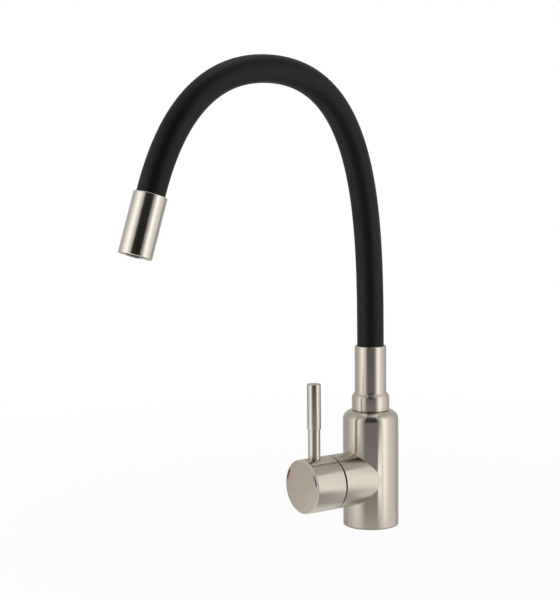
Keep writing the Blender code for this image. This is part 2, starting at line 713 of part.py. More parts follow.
# Spout centreline: straight up out of the neck, over the crown and down along the outlet's axis
hose_foot = spigot_collar_top + fit_gap
outlet_down = Vector((0.0, -math.sin(outlet_tilt), -math.cos(outlet_tilt)))
neck_point = Vector((0.0, 0.0, neck_top))
crown_point = Vector((0.0, -crown_reach, neck_top + crown_rise))
outlet_point = Vector((0.0, -outlet_top_reach, neck_top + outlet_top_rise))
forward = Vector((0.0, -1.0, 0.0))
upward = Vector((0.0, 0.0, 1.0))
rear_half = (neck_point, neck_point + upward * rise_handle,
             crown_point - forward * crown_rear_handle, crown_point)
front_half = (crown_point, crown_point + forward * crown_front_handle,
              outlet_point - outlet_down * outlet_handle, outlet_point)
curve_samples = 160
path = [Vector((0.0, 0.0, hose_foot))]
path += [bezier_point(rear_half, i / curve_samples) for i in range(curve_samples + 1)]
path += [bezier_point(front_half, i / curve_samples) for i in range(1, curve_samples + 1)]
path.append(outlet_point + outlet_down * outlet_hose_depth)
travel = [0.0]
for i in range(1, len(path)):
    travel.append(travel[-1] + (path[i] - path[i - 1]).length)
hose_length = travel[-1]
crown_share = travel[curve_samples + 1] / hose_length


def path_point(distance):
    # A point of the centreline at a distance along it from the foot
    for i in range(1, len(path)):
        if distance <= travel[i] or i == len(path) - 1:
            piece = (distance - travel[i - 1]) / (travel[i] - travel[i - 1])
            return path[i - 1].lerp(path[i], piece)


def path_direction(distance):
    # The way the centreline runs at a distance along it
    step = ring_spacing / 6
    reach = min(max(distance, step), hose_length - step)
    return (path_point(reach + step) - path_point(reach - step)).normalized()


def bare_tube(knots, radius, steps):
    # A round skin along the centreline with open, square ends
    curve = bpy.data.curves.new("tube_guide", "CURVE")
    curve.dimensions = "3D"
    curve.bevel_depth = radius
    curve.bevel_resolution = steps // 2 - 2
    curve.use_fill_caps = False
    curve.twist_mode = "MINIMUM"
    curve.resolution_u = 1
    spline = curve.splines.new("BEZIER")
    spline.bezier_points.add(len(knots) - 1)
    for i, (place, direction) in enumerate(knots):
        knot = spline.bezier_points[i]
        knot.handle_left_type = "FREE"
        knot.handle_right_type = "FREE"
        knot.co = place
        knot.handle_left = place - direction * ring_spacing / 3
        knot.handle_right = place + direction * ring_spacing / 3
    guide = bpy.data.objects.new("tube_guide", curve)
    cutters.objects.link(guide)
    mesh = bpy.data.meshes.new_from_object(guide.evaluated_get(bpy.context.evaluated_depsgraph_get()))
    bpy.data.objects.remove(guide, do_unlink=True)
    return mesh


def tube(name, start, end, outer_diameter, wall, steps, material, parent):
    # A hose section: an outer skin and an inner skin, joined by a flat ring at each end
    count = max(2, round((end - start) / ring_spacing))
    stations = [start + (end - start) * i / count for i in range(count + 1)]
    knots = [(path_point(s) - Vector(parent["place"]), path_direction(s)) for s in stations]
    shape = bmesh.new()
    shape.from_mesh(bare_tube(knots, outer_diameter / 2 - wall, steps))
    bmesh.ops.reverse_faces(shape, faces=shape.faces)
    shape.from_mesh(bare_tube(knots, outer_diameter / 2, steps))
    bmesh.ops.remove_doubles(shape, verts=shape.verts, dist=fit_gap / 100)
    for place, direction in (knots[0], knots[-1]):
        rim = [edge for edge in shape.edges if edge.is_boundary
               and all((vert.co - place).length < outer_diameter for vert in edge.verts)
               and all(abs((vert.co - place).dot(direction)) < fit_gap for vert in edge.verts)]
        bmesh.ops.bridge_loops(shape, edges=rim)
    mesh = bpy.data.meshes.new(name)
    shape.to_mesh(mesh)
    shape.free()
    thing = new_object(name, mesh, material)
    thing.parent = parent
    shade(mesh)
    return thing


# Spout sections: four that keep their shape, and three between them that bend
half_crown = crown_bend_length_share / 2
cuts = (0.0, lower_bend_start_share, lower_bend_end_share, crown_share - half_crown, crown_share + half_crown,
        outer_bend_start_share, outer_bend_end_share, 1.0)
lower_bend_middle = (cuts[1] + cuts[2]) / 2
outer_bend_middle = (cuts[5] + cuts[6]) / 2
lower_bend_axis = new_axis("lower_bend_axis", path_point(hose_length * lower_bend_middle), swivel_axis)
crown_bend_axis = new_axis("crown_bend_axis", path_point(hose_length * crown_share), lower_bend_axis)
outer_bend_axis = new_axis("outer_bend_axis", path_point(hose_length * outer_bend_middle), crown_bend_axis)
section_names = ("rise", "lower_bend", "rear_arch", "crown_bend", "front_arch", "outer_bend", "drop")
section_axes = (swivel_axis, swivel_axis, lower_bend_axis, lower_bend_axis, crown_bend_axis, crown_bend_axis,
                outer_bend_axis)
half_gap = fit_gap / 2
for i in range(len(section_names)):
    start = cuts[i] * hose_length + (half_gap if i else 0.0)
    end = cuts[i + 1] * hose_length - (half_gap if i < len(section_names) - 1 else 0.0)
    tube("sleeve_" + section_names[i], start, end, sleeve_diameter, sleeve_wall, sleeve_steps, silicone,
         section_axes[i])
    tube("gooseneck_" + section_names[i], start, end, gooseneck_diameter, gooseneck_wall, gooseneck_steps,
         steel, section_axes[i])
    tube("water_hose_" + section_names[i], start, end, water_hose_diameter, water_hose_wall,
         water_hose_steps, hose_rubber, section_axes[i])

# Outlet: a shell round the hose's end, an adaptor in the hose, and the aerator at the mouth
outlet_turn = (-outlet_tilt, 0.0, 0.0)
outlet_place = tuple(outlet_point)
outlet_radius = outlet_diameter / 2
outlet_bore = outlet_bore_diameter / 2
chamber = outlet_chamber_diameter / 2
outlet_top_edge = arc((outlet_radius - outlet_edge, -outlet_edge), outlet_edge, math.radians(90.0), 0.0, 3)
outlet_low_edge = arc((outlet_radius - outlet_edge, outlet_edge - outlet_length), outlet_edge,
                      0.0, math.radians(-90.0), 3)
shell_profile = [(outlet_bore, 0.0)] + outlet_top_edge + outlet_low_edge
shell_profile += [(chamber, -outlet_length), (chamber, -outlet_chamber_depth),
                  (outlet_bore, -outlet_chamber_depth)]
outlet_shell = turned("outlet_shell", shell_profile, large_steps, bright_nickel, True)
put(outlet_shell, outer_bend_axis, outlet_place, outlet_turn)

adaptor_top = -outlet_hose_depth - fit_gap
thread_top = -outlet_chamber_depth - fit_gap
adaptor_profile = [(spigot_barb_diameter / 2, -adaptor_barb_top_depth),
                   (spigot_barb_diameter / 2, adaptor_top),
                   (adaptor_collar_diameter / 2, adaptor_top), (adaptor_collar_diameter / 2, thread_top),
                   (adaptor_thread_diameter / 2, thread_top),
                   (adaptor_thread_diameter / 2, -adaptor_bottom_depth),
                   (adaptor_cup_diameter / 2, -adaptor_bottom_depth),
                   (adaptor_cup_diameter / 2, -adaptor_cup_depth),
                   (spigot_bore_diameter / 2, -adaptor_cup_depth),
                   (spigot_bore_diameter / 2, -adaptor_barb_top_depth)]
adaptor = turned("outlet_adaptor", adaptor_profile, middle_steps, brass, True)
put(adaptor, outer_bend_axis, outlet_place, outlet_turn)

seal_top = -adaptor_bottom_depth - fit_gap
seal_bottom = seal_top - aerator_seal_thickness
seal_profile = ring_profile(adaptor_thread_diameter / 2, aerator_seal_inner_diameter / 2,
                            seal_top, seal_bottom)
aerator_seal = turned("aerator_seal", seal_profile, middle_steps, rubber, True)
put(aerator_seal, outer_bend_axis, outlet_place, outlet_turn)

housing_top = seal_bottom - fit_gap
housing_bottom = aerator_recess - outlet_length
housing_outer = adaptor_thread_diameter / 2
housing_inner = aerator_housing_inner_diameter / 2
lip_top = housing_bottom + aerator_lip_thickness
housing_profile = [(housing_outer, housing_top), (housing_outer, housing_bottom),
                   (aerator_lip_diameter / 2, housing_bottom), (aerator_lip_diameter / 2, lip_top),
                   (housing_inner, lip_top), (housing_inner, housing_top)]
aerator_housing = turned("aerator_housing", housing_profile, middle_steps, bright_nickel, True)
put(aerator_housing, outer_bend_axis, outlet_place, outlet_turn)

insert_top = housing_top - fit_gap
insert_bottom = lip_top + fit_gap
insert_radius = housing_inner - fit_gap
insert = turned("aerator_insert", plain_profile(insert_radius, insert_top, insert_bottom), middle_steps,
                grey_plastic, False)
put(insert, outer_bend_axis, outlet_place, outlet_turn)
spout_frame = outlet_down.to_track_quat("Z", "X")
for i in range(aerator_hole_count + 1):
    hole_radius = aerator_hole_ring_share * insert_radius if i else 0.0
    angle = math.tau * i / aerator_hole_count
    offset = Vector((hole_radius * math.cos(angle), hole_radius * math.sin(angle), 0.0))
    hole = drill("aerator_hole", aerator_hole_diameter / 2, insert_top - insert_bottom + fit_gap * 2, 8)
    place = outlet_point + spout_frame @ offset - outlet_down * (insert_top + fit_gap)
    put(hole, None, place, tuple(spout_frame.to_euler()))
    combine(insert, hole, "DIFFERENCE")
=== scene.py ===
import json
import math

import bmesh
import bpy
from mathutils import Matrix, Vector


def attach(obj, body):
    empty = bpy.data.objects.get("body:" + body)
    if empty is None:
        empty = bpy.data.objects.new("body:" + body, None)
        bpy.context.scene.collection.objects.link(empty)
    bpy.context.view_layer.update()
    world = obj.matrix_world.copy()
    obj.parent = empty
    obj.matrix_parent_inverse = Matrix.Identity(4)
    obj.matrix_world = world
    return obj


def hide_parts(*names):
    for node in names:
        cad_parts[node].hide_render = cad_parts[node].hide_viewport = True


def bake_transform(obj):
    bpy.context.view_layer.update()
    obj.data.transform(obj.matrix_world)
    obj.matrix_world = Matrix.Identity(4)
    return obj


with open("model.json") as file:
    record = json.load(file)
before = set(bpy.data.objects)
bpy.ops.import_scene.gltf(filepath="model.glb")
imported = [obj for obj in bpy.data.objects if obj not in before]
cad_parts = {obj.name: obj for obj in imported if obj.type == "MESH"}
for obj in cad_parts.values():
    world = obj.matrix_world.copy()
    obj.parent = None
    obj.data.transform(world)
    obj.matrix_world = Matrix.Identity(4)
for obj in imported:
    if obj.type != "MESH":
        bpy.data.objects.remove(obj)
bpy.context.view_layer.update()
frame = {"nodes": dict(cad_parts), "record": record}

nodes = frame["nodes"]
scene = bpy.context.scene
print("frame loaded,", len(nodes), "nodes")

# Small helpers

def linear(code):
    # sRGB hex to the linear colour that the shaders take
    values = [int(code[i:i + 2], 16) / 255 for i in (0, 2, 4)]
    return tuple(v / 12.92 if v <= 0.04045 else ((v + 0.055) / 1.055) ** 2.4 for v in values) + (1.0,)


def addNode(tree, kind, settings=None, sockets=None):
    # a node with its settings, and its sockets set to a value or linked to another node's output
    node = tree.nodes.new(kind)
    for key, value in (settings or {}).items():
        setattr(node, key, value)
    for key, value in (sockets or {}).items():
        if isinstance(value, bpy.types.NodeSocket):
            tree.links.new(value, node.inputs[key])
        else:
            node.inputs[key].default_value = value
    return node


def mathNode(tree, operation, *values):
    # what a math node makes of plain values and other nodes' outputs
    return addNode(tree, "ShaderNodeMath", {"operation": operation}, dict(enumerate(values))).outputs[0]


def noiseNode(tree, vector, scale, detail, roughness=0.5):
    noise = addNode(tree, "ShaderNodeTexNoise", None, {
        "Vector": vector, "Scale": scale, "Detail": detail, "Roughness": roughness})
    return noise.outputs["Fac"]


def rangeNode(tree, value, low, high, start=0.0, end=1.0):
    # a pattern's value, spread from the range it has onto the one that is wanted
    spread = addNode(tree, "ShaderNodeMapRange", None, {
        "Value": value, "From Min": low, "From Max": high, "To Min": start, "To Max": end})
    return spread.outputs[0]


def newMaterial(name, settings):
    # a material with its Principled shader, whose plain values are set on the sockets
    material = bpy.data.materials.new(name)
    material.use_nodes = True
    shader = material.node_tree.nodes["Principled BSDF"]
    for key, value in settings.items():
        shader.inputs[key].default_value = value
    return material, material.node_tree, shader


def arc(centreR, centreZ, radius, start, end, steps):
    # points of a rounded edge, angles in degrees, 0 pointing outwards and 90 up
    turns = [math.radians(start + (end - start) * i / steps) for i in range(steps + 1)]
    return [(centreR + radius * math.cos(t), centreZ + radius * math.sin(t)) for t in turns]


def topEdge(radius, height, edge, steps):
    # the rounded outer edge of a top face
    return arc(radius - edge, height - edge, edge, 90, 0, steps)


def footEdge(radius, height, edge, steps):
    # the rounded outer edge of a bottom face
    return arc(radius - edge, height + edge, edge, 0, -90, steps)


def turnedMesh(name, outline, segments, closed=False, seam=90.0):
    # an outline of radius and height turned round Z, down the outer side first
    # its UV map holds the share of a turn across and the way along the outline, in metres, up
    rows, verts, faces, uvs = [], [], [], []
    way = [0.0]
    points = list(outline) + ([outline[0]] if closed else [])
    for a, b in zip(points, points[1:]):
        way.append(way[-1] + math.dist(a, b))
    for r, z in outline:
        if r < 1e-7:
            rows.append([len(verts)])
            verts.append((0.0, 0.0, z))
        else:
            rows.append(list(range(len(verts), len(verts) + segments)))
            for k in range(segments):
                t = math.radians(seam) + math.tau * k / segments
                verts.append((r * math.cos(t), r * math.sin(t), z))
    if closed:
        rows.append(rows[0])
    for i in range(len(rows) - 1):
        upper, lower = rows[i], rows[i + 1]
        for k in range(segments):
            n = (k + 1) % segments
            left, right, middle = k / segments, (k + 1) / segments, (k + 0.5) / segments
            if len(upper) == 1:
                faces.append((upper[0], lower[k], lower[n]))
                uvs += [(middle, way[i]), (left, way[i + 1]), (right, way[i + 1])]
            elif len(lower) == 1:
                faces.append((upper[k], lower[0], upper[n]))
                uvs += [(left, way[i]), (middle, way[i + 1]), (right, way[i])]
            else:
                faces.append((upper[k], lower[k], lower[n], upper[n]))
                uvs += [(left, way[i]), (left, way[i + 1]), (right, way[i + 1]), (right, way[i])]
    mesh = bpy.data.meshes.new(name)
    mesh.from_pydata(verts, [], faces)
    layer = mesh.uv_layers.new(name="turning")
    for loop, uv in zip(layer.data, uvs):
        loop.uv = uv
    return mesh


def newObject(name, data):
    made = bpy.data.objects.new(name, data)
    scene.collection.objects.link(made)
    return made


def newPiece(name, mesh, material, place=None):
    # the mesh's place goes into its vertices, and its object stays at the origin
    if place is not None:
        mesh.transform(place)
    if material is not None:
        mesh.materials.append(material)
    return newObject(name, mesh)


def turned(name, outline, segments, material, place=None, closed=False, seam=90.0):
    return newPiece(name, turnedMesh(name, outline, segments, closed, seam), material, place)


def bore(top, levels, segments, place=None):
    # a round cutter that changes its radius in steps: each level is a radius and the height it goes down to
    outline = [(0.0, top)]
    for radius, foot in levels:
        outline += [(radius, top), (radius, foot)]
        top = foot
    return turned("cutter", outline + [(0.0, top)], segments, None, place)


def drill(radius, low, high, segments, place=None):
    return bore(high, ((radius, low),), segments, place)


def block(size, centre, place=None):
    mesh = bpy.data.meshes.new("cutter")
    shape = bmesh.new()
    bmesh.ops.create_cube(shape, size=1.0, matrix=Matrix.Translation(centre) @ Matrix.Diagonal((*size, 1.0)))
    shape.to_mesh(mesh)
    shape.free()
    mesh.uv_layers.new(name="turning")
    return newPiece("cutter", mesh, None, place)


weldDistance, sliverLength = 0.00001, 0.000005


def settle(piece, sharpAngle=30.0):
    # the modifiers' result becomes the piece's own mesh, smooth but for its real edges
    depsgraph = bpy.context.evaluated_depsgraph_get()
    mesh = bpy.data.meshes.new_from_object(piece.evaluated_get(depsgraph), depsgraph=depsgraph)
    cutters = [m.object for m in piece.modifiers if m.type == "BOOLEAN"]
    if cutters:
        # slivers that the cuts leave along a seam are welded shut
        shape = bmesh.new()
        shape.from_mesh(mesh)
        bmesh.ops.remove_doubles(shape, verts=shape.verts, dist=weldDistance)
        bmesh.ops.dissolve_degenerate(shape, edges=shape.edges, dist=sliverLength)
        shape.to_mesh(mesh)
        shape.free()
    piece.modifiers.clear()
    piece.data = mesh
    for cutter in cutters:
        if cutter.name in bpy.data.objects:
            bpy.data.objects.remove(cutter, do_unlink=True)
    mesh.shade_smooth()
    mesh.set_sharp_from_angle(angle=math.radians(sharpAngle))
    return piece


def combine(piece, other, operation="DIFFERENCE"):
    # a united part keeps the finish it came with
    step = piece.modifiers.new(other.name, "BOOLEAN")
    step.material_mode = "TRANSFER" if other.data.materials else "INDEX"
    step.operation = operation
    step.solver = "EXACT"
    step.object = other

# Finishes

# how strongly each pattern counts, and the range of its values that shows
brushPattern = {
    "bandShare": 0.5, "bandTurns": 0.4, "bandShift": (3.7, 1.9, 0.0), "cloudShare": 0.6,
    "toneRange": (0.45, 1.05), "glossRange": (0.7, 1.4)}
grainPattern = {"cloudShare": 0.7, "toneRange": (0.6, 1.1), "glossRange": (0.3, 0.7)}


def dressShader(tree, shader, look, pattern, tone, gloss, relief, depth):
    # two close tones, uneven gloss and a fine relief
    colour = addNode(tree, "ShaderNodeMix", {"data_type": "RGBA"}, {
        "Factor": rangeNode(tree, tone, *pattern["toneRange"]),
        "A": linear(look["dark"]), "B": linear(look["light"])})
    tree.links.new(colour.outputs["Result"], shader.inputs["Base Color"])
    rough = rangeNode(tree, gloss, *pattern["glossRange"],
                      look["roughness"] - look["spread"], look["roughness"] + look["spread"])
    tree.links.new(rough, shader.inputs["Roughness"])
    bump = addNode(tree, "ShaderNodeBump", None, {"Height": relief, "Distance": depth, "Strength": 1.0})
    tree.links.new(bump.outputs[0], shader.inputs["Normal"])


def brushedMetal(name, look):
    # a turned metal face brushed round its axis: fine lines run round, so highlights stretch along the piece
    material, tree, shader = newMaterial(name, {
        "Metallic": 1.0, "Anisotropic": look["anisotropy"], "Anisotropic Rotation": 0.25})
    turning = addNode(tree, "ShaderNodeUVMap", {"uv_map": "turning"})
    split = addNode(tree, "ShaderNodeSeparateXYZ", None, {0: turning.outputs["UV"]})
    angle = mathNode(tree, "MULTIPLY", split.outputs["X"], math.tau)
    # the map is wrapped into a ring, so that a line closes on itself with no join
    ring = addNode(tree, "ShaderNodeCombineXYZ", None, {
        "X": mathNode(tree, "COSINE", angle), "Y": mathNode(tree, "SINE", angle), "Z": split.outputs["Y"]})
    turns, bandTurns = look["lineTurns"], look["lineTurns"] * brushPattern["bandTurns"]
    fineMap = addNode(tree, "ShaderNodeMapping", None, {
        "Vector": ring.outputs[0], "Scale": (turns, turns, 1.0 / look["linePitch"])})
    fine = noiseNode(tree, fineMap.outputs[0], 1.0, 3.0, 0.6)
    broadMap = addNode(tree, "ShaderNodeMapping", None, {
        "Vector": ring.outputs[0], "Scale": (bandTurns, bandTurns, 1.0 / look["bandPitch"]),
        "Location": brushPattern["bandShift"]})
    broad = noiseNode(tree, broadMap.outputs[0], 1.0, 2.0)
    place = addNode(tree, "ShaderNodeTexCoord")
    clouds = noiseNode(tree, place.outputs["Object"], 1.0 / look["cloudSize"], 2.0)
    lines = mathNode(tree, "MULTIPLY_ADD", broad, brushPattern["bandShare"], fine)
    gloss = mathNode(tree, "MULTIPLY_ADD", clouds, brushPattern["cloudShare"], lines)
    dressShader(tree, shader, look, brushPattern, lines, gloss, lines, look["lineDepth"])
    tangent = addNode(tree, "ShaderNodeTangent", {"direction_type": "UV_MAP", "uv_map": "turning"})
    tree.links.new(tangent.outputs[0], shader.inputs["Tangent"])
    return material


# brushed nickel plate on brass: a warm grey satin, lines 0.1 mm apart from a fine belt
# that pitch is under a pixel in the render, so the lines are drawn 0.35 mm apart
brushedNickelLook = {
    "dark": "CBC2B5", "light": "D1C8BB", "roughness": 0.22, "spread": 0.008, "anisotropy": 0.99,
    "linePitch": 0.00035, "bandPitch": 0.0016, "lineTurns": 0.7, "lineDepth": 0.00000003, "cloudSize": 0.012}
brushedNickel = brushedMetal("brushedNickelPlate", brushedNickelLook)
# the branch was held against a finer belt, so it shows the body's reflection more sharply; its tone is set
# darker than the body's plate as painted shade that tones down its lit band
branchNickelPaintedShade = brushedMetal("finelyBrushedNickelPlatePaintedShade", {
    **brushedNickelLook, "dark": "C3BAAD", "light": "C9C0B3", "roughness": 0.17})
# the neck is drawn tube, brushed a little coarser than the turned body; its tone is set lighter than the
# body's plate as painted light that lifts its dark band
neckNickelPaintedLight = brushedMetal("coarselyBrushedNickelPlatePaintedLight", {
    **brushedNickelLook, "dark": "D2C9BC", "light": "D8CFC2", "roughness": 0.28})

# the outlet's plate is rubbed finer, so it mirrors more; its tone is set lighter than the body's plate as
# painted light that lifts its highlights
satinNickelLookPaintedLight = {
    "dark": "D9D1C5", "light": "DFD7CB", "roughness": 0.20, "spread": 0.006, "anisotropy": 0.65,
    "linePitch": 0.00030, "bandPitch": 0.0014, "lineTurns": 0.7, "lineDepth": 0.00000001, "cloudSize": 0.010}
satinNickelPaintedLight = brushedMetal("satinNickelPlatePaintedLight", satinNickelLookPaintedLight)
# the aerator's plate is given a dull, dark tone, painted shade for the recess inside the outlet's mouth
aeratorNickelPaintedShade = brushedMetal("aeratorNickelPlatePaintedShade", {
    **satinNickelLookPaintedLight, "dark": "77736B", "light": "827E76", "roughness": 0.40, "spread": 0.03})


def grainedMaterial(name, look):
    # a moulded, cast, sintered or painted solid
    material, tree, shader = newMaterial(name, {
        "Metallic": look.get("metallic", 0.0), "IOR": look.get("ior", 1.5),
        "Specular IOR Level": look.get("specular", 0.5)})
    place = addNode(tree, "ShaderNodeTexCoord")
    grain = noiseNode(tree, place.outputs["Object"], 1.0 / look["grain"], 4.0, 0.55)
    clouds = noiseNode(tree, place.outputs["Object"], 1.0 / look["cloud"], 2.0)
    tone = mathNode(tree, "MULTIPLY_ADD", clouds, grainPattern["cloudShare"], grain)
    dressShader(tree, shader, look, grainPattern, tone, clouds, grain, look["depth"])
    return material


# extruded silicone with a talc-matt skin: near black, a wide dull highlight and a pale rim at grazing angles
matSilicone = grainedMaterial("extrudedBlackSilicone", {
    "dark": "0D0D0C", "light": "121210", "roughness": 0.46, "spread": 0.04, "ior": 1.43, "specular": 0.32,
    "grain": 0.00045, "cloud": 0.02, "depth": 0.000012})
# moulded nitrile rubber: dead matt
nitrileRubber = grainedMaterial("mouldedNitrileRubber", {
    "dark": "141414", "light": "1E1E1D", "roughness": 0.68, "spread": 0.06, "ior": 1.52,
    "grain": 0.0004, "cloud": 0.006, "depth": 0.00001})
# extruded EPDM hose: charcoal, a little smoother than the seals
hoseRubber = grainedMaterial("extrudedEpdmHose", {
    "dark": "2A2B2D", "light": "343538", "roughness": 0.58, "spread": 0.05, "ior": 1.50,
    "grain": 0.0005, "cloud": 0.012, "depth": 0.00001})
# sintered and lapped alumina: white with a faint warm cloud
aluminaCeramic = grainedMaterial("lappedAlumina", {
    "dark": "E2DFD8", "light": "EEECE6", "roughness": 0.20, "spread": 0.04, "ior": 1.77,
    "grain": 0.0003, "cloud": 0.004, "depth": 0.000002})
# moulded acetal cartridge shell: ivory, softly glossy
ivoryAcetal = grainedMaterial("mouldedIvoryAcetal", {
    "dark": "CFC4AA", "light": "D9CFB8", "roughness": 0.40, "spread": 0.05, "ior": 1.48,
    "grain": 0.0006, "cloud": 0.008, "depth": 0.000006})
# glass-filled nylon: mid grey, streaky and duller
greyNylon = grainedMaterial("mouldedGreyNylon", {
    "dark": "84868A", "light": "92949A", "roughness": 0.46, "spread": 0.06, "ior": 1.53,
    "grain": 0.0005, "cloud": 0.007, "depth": 0.000008})
# the aerator's insert and lattice are a dark nylon, painted shade for the recess inside the outlet's mouth
insertNylonPaintedShade = grainedMaterial("mouldedNylonPaintedShade", {
    "dark": "3E403F", "light": "484A49", "roughness": 0.50, "spread": 0.05, "ior": 1.53,
    "grain": 0.0005, "cloud": 0.006, "depth": 0.000008})
# machined brass: turned, then left bare
machinedBrass = grainedMaterial("machinedBrass", {
    "dark": "C09A52", "light": "CDA963", "roughness": 0.30, "spread": 0.05, "metallic": 1.0,
    "grain": 0.0004, "cloud": 0.009, "depth": 0.000002})
# drawn stainless steel
drawnSteel = grainedMaterial("drawnStainlessSteel", {
    "dark": "B4B3B0", "light": "C3C2BF", "roughness": 0.32, "spread": 0.05, "metallic": 1.0,
    "grain": 0.0005, "cloud": 0.010, "depth": 0.000002})
# nickel plate over a blasted face: even, matt and without direction
blastedNickel = grainedMaterial("blastedNickelPlate", {
    "dark": "B8AE9F", "light": "BFB5A6", "roughness": 0.28, "spread": 0.015, "metallic": 1.0,
    "grain": 0.0004, "cloud": 0.012, "depth": 0.0000003})
# nickel plate on the cap's rounded rim, lighter and duller than the sides: a painted highlight along the rim
rimNickelPaintedHighlight = grainedMaterial("rimNickelPlatePaintedHighlight", {
    "dark": "DDD4C8", "light": "E4DBCF", "roughness": 0.52, "spread": 0.03, "metallic": 1.0,
    "grain": 0.0004, "cloud": 0.012, "depth": 0.0000003})
# stoving enamel rubbed into the two short grooves: slightly uneven and satin
redEnamel = grainedMaterial("stovedRedEnamel", {
    "dark": "9C3225", "light": "AC3F31", "roughness": 0.38, "spread": 0.06, "ior": 1.52,
    "grain": 0.0004, "cloud": 0.002, "depth": 0.00001})
blueEnamel = grainedMaterial("stovedBlueEnamel", {
    "dark": "26457F", "light": "325391", "roughness": 0.38, "spread": 0.06, "ior": 1.52,
    "grain": 0.0004, "cloud": 0.002, "depth": 0.00001})
print("finishes made")

slotFinish = {
    "plain_brass": machinedBrass, "stainless_steel": drawnSteel, "black_rubber": nitrileRubber,
    "white_ceramic": aluminaCeramic, "ivory_plastic": ivoryAcetal, "grey_plastic": greyNylon,
    "hose_rubber": hoseRubber, "black_silicone": matSilicone, "brushed_nickel": drawnSteel,
    "polished_nickel": drawnSteel, "red_enamel": redEnamel, "blue_enamel": blueEnamel}
for subpart in frame["record"]["subparts"]:
    for holder in nodes[subpart["node"]].material_slots:
        holder.material = slotFinish[subpart["material_slot"]]

# Body with its branch

gap = 0.0003          # running clearance
over = 0.002          # how far a cutter runs past a face

body = {
    "radius": 0.0250, "height": 0.1050, "shoulder": 0.0085, "baseEdge": 0.0010, "segments": 256,
    "branchRadius": 0.0239, "branchHeight": 0.04465, "branchReach": 0.0457, "branchEdge": 0.0004,
    "seatReach": 0.0060, "cartridgeRadius": 0.0178, "nutSeatReach": 0.0300, "nutRadius": 0.0205,
    "socketRadius": 0.0114, "socketFloor": 0.0681, "glideRadius": 0.0134, "glideFloor": 0.1030,
    "snapRadius": 0.0125, "snapHeight": 0.0947, "snapHalf": 0.0010,
    "inletRadius": 0.0046, "inletSide": 0.0095, "inletBack": 0.0090, "inletTop": 0.0511,
    "studRadius": 0.0034, "studFront": 0.0130, "studDepth": 0.0140,
    "gasketOuter": 0.0230, "gasketInner": 0.0205, "gasketDepth": 0.0018,
    "portRadius": 0.0024, "portSide": 0.0062, "portRise": 0.0045,
    "mixedRadius": 0.0029, "mixedDrop": 0.0070, "riserRadius": 0.0032, "riserBack": 0.0005,
    "boreSegments": 128, "socketSegments": 96, "inletSegments": 48, "holeSegments": 40, "portSegments": 32}


def alongBranch(x, up):
    # a piece on the branch is drawn upright, with its own +Z out to the user and its own +Y up
    place = Matrix.Translation((x, 0.0, body["branchHeight"] + up))
    return place @ Matrix.Rotation(math.radians(90.0), 4, "X")


def moved(x, y, z=0.0):
    return Matrix.Translation((x, y, z))


onBranch = alongBranch(0.0, 0.0)
outline = [(0.0, body["height"])]
outline += topEdge(body["radius"], body["height"], body["shoulder"], 24)
outline += footEdge(body["radius"], 0.0, body["baseEdge"], 8)
outline += [(0.0, 0.0)]
bodyCasting = turned("bodyCasting", outline, body["segments"], brushedNickel)

outline = [(0.0, body["branchReach"])]
outline += topEdge(body["branchRadius"], body["branchReach"], body["branchEdge"], 4)
outline += [(body["branchRadius"], 0.0), (0.0, 0.0)]
combine(bodyCasting, turned("branch", outline, body["segments"], branchNickelPaintedShade, onBranch, seam=-90.0), "UNION")

# room for the cartridge under its nut, and the spout's socket with the groove of its snap ring
combine(bodyCasting, bore(body["branchReach"] + over, (
    (body["nutRadius"], body["nutSeatReach"]), (body["cartridgeRadius"], body["seatReach"])),
    body["boreSegments"], onBranch))
combine(bodyCasting, bore(body["height"] + over, (
    (body["glideRadius"], body["glideFloor"]), (body["socketRadius"], body["snapHeight"] + body["snapHalf"]),
    (body["snapRadius"], body["snapHeight"] - body["snapHalf"]), (body["socketRadius"], body["socketFloor"])),
    body["socketSegments"]))

# mixed water leaves the cartridge low down and rises to the socket
mixedAxis = body["branchHeight"] - body["mixedDrop"]
combine(bodyCasting, drill(body["mixedRadius"], -body["riserBack"], body["seatReach"] + gap,
                           body["holeSegments"], alongBranch(0.0, -body["mixedDrop"])))
combine(bodyCasting, drill(body["riserRadius"], mixedAxis - body["riserRadius"] - gap,
                           body["socketFloor"] + gap, body["holeSegments"], moved(0.0, body["riserBack"])))
# hot and cold come up beside each other and turn into the cartridge's ports
for side in (-1.0, 1.0):
    combine(bodyCasting, drill(body["inletRadius"], -over, body["inletTop"], body["inletSegments"],
                               moved(side * body["inletSide"], body["inletBack"])))
    combine(bodyCasting, drill(body["portRadius"], -body["inletBack"], body["seatReach"] + gap,
                               body["portSegments"], alongBranch(side * body["portSide"], body["portRise"])))
combine(bodyCasting, drill(body["studRadius"], -over, body["studDepth"], body["holeSegments"],
                           moved(0.0, -body["studFront"])))
outline = [(body["gasketOuter"], body["gasketDepth"]), (body["gasketOuter"], -over),
           (body["gasketInner"], -over), (body["gasketInner"], body["gasketDepth"])]
combine(bodyCasting, turned("cutter", outline, body["boreSegments"], None, closed=True))
settle(bodyCasting)
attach(bodyCasting, "tap")
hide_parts("body_casting")
print("body made,", len(bodyCasting.data.polygons), "faces")

# Handle cap, its marks and the lever pin

cap = {
    "radius": 0.0240, "back": 0.0471, "face": 0.0779, "edge": 0.0009, "backEdge": 0.0002, "faceRing": 0.0002,
    "rimWall": 0.0009, "wall": 0.0026, "taper": 0.0040, "faceThickness": 0.0050,
    "hubRadius": 0.0080, "hubBack": 0.0520, "stemHalf": 0.0038, "stemFront": 0.0643,
    "pinReach": 0.0641, "padRadius": 0.0065, "padFoot": 0.0070, "seatRadius": 0.0057, "seatDepth": 0.0009,
    "threadRadius": 0.0028, "threadFoot": 0.0146, "grubRadius": 0.0022, "grubReach": 0.0580,
    "segments": 256, "hubSegments": 64, "seatSegments": 96, "holeSegments": 40,
    "flatNormal": 0.99, "flatDepth": 0.00005}

cavity = cap["face"] - cap["faceThickness"]
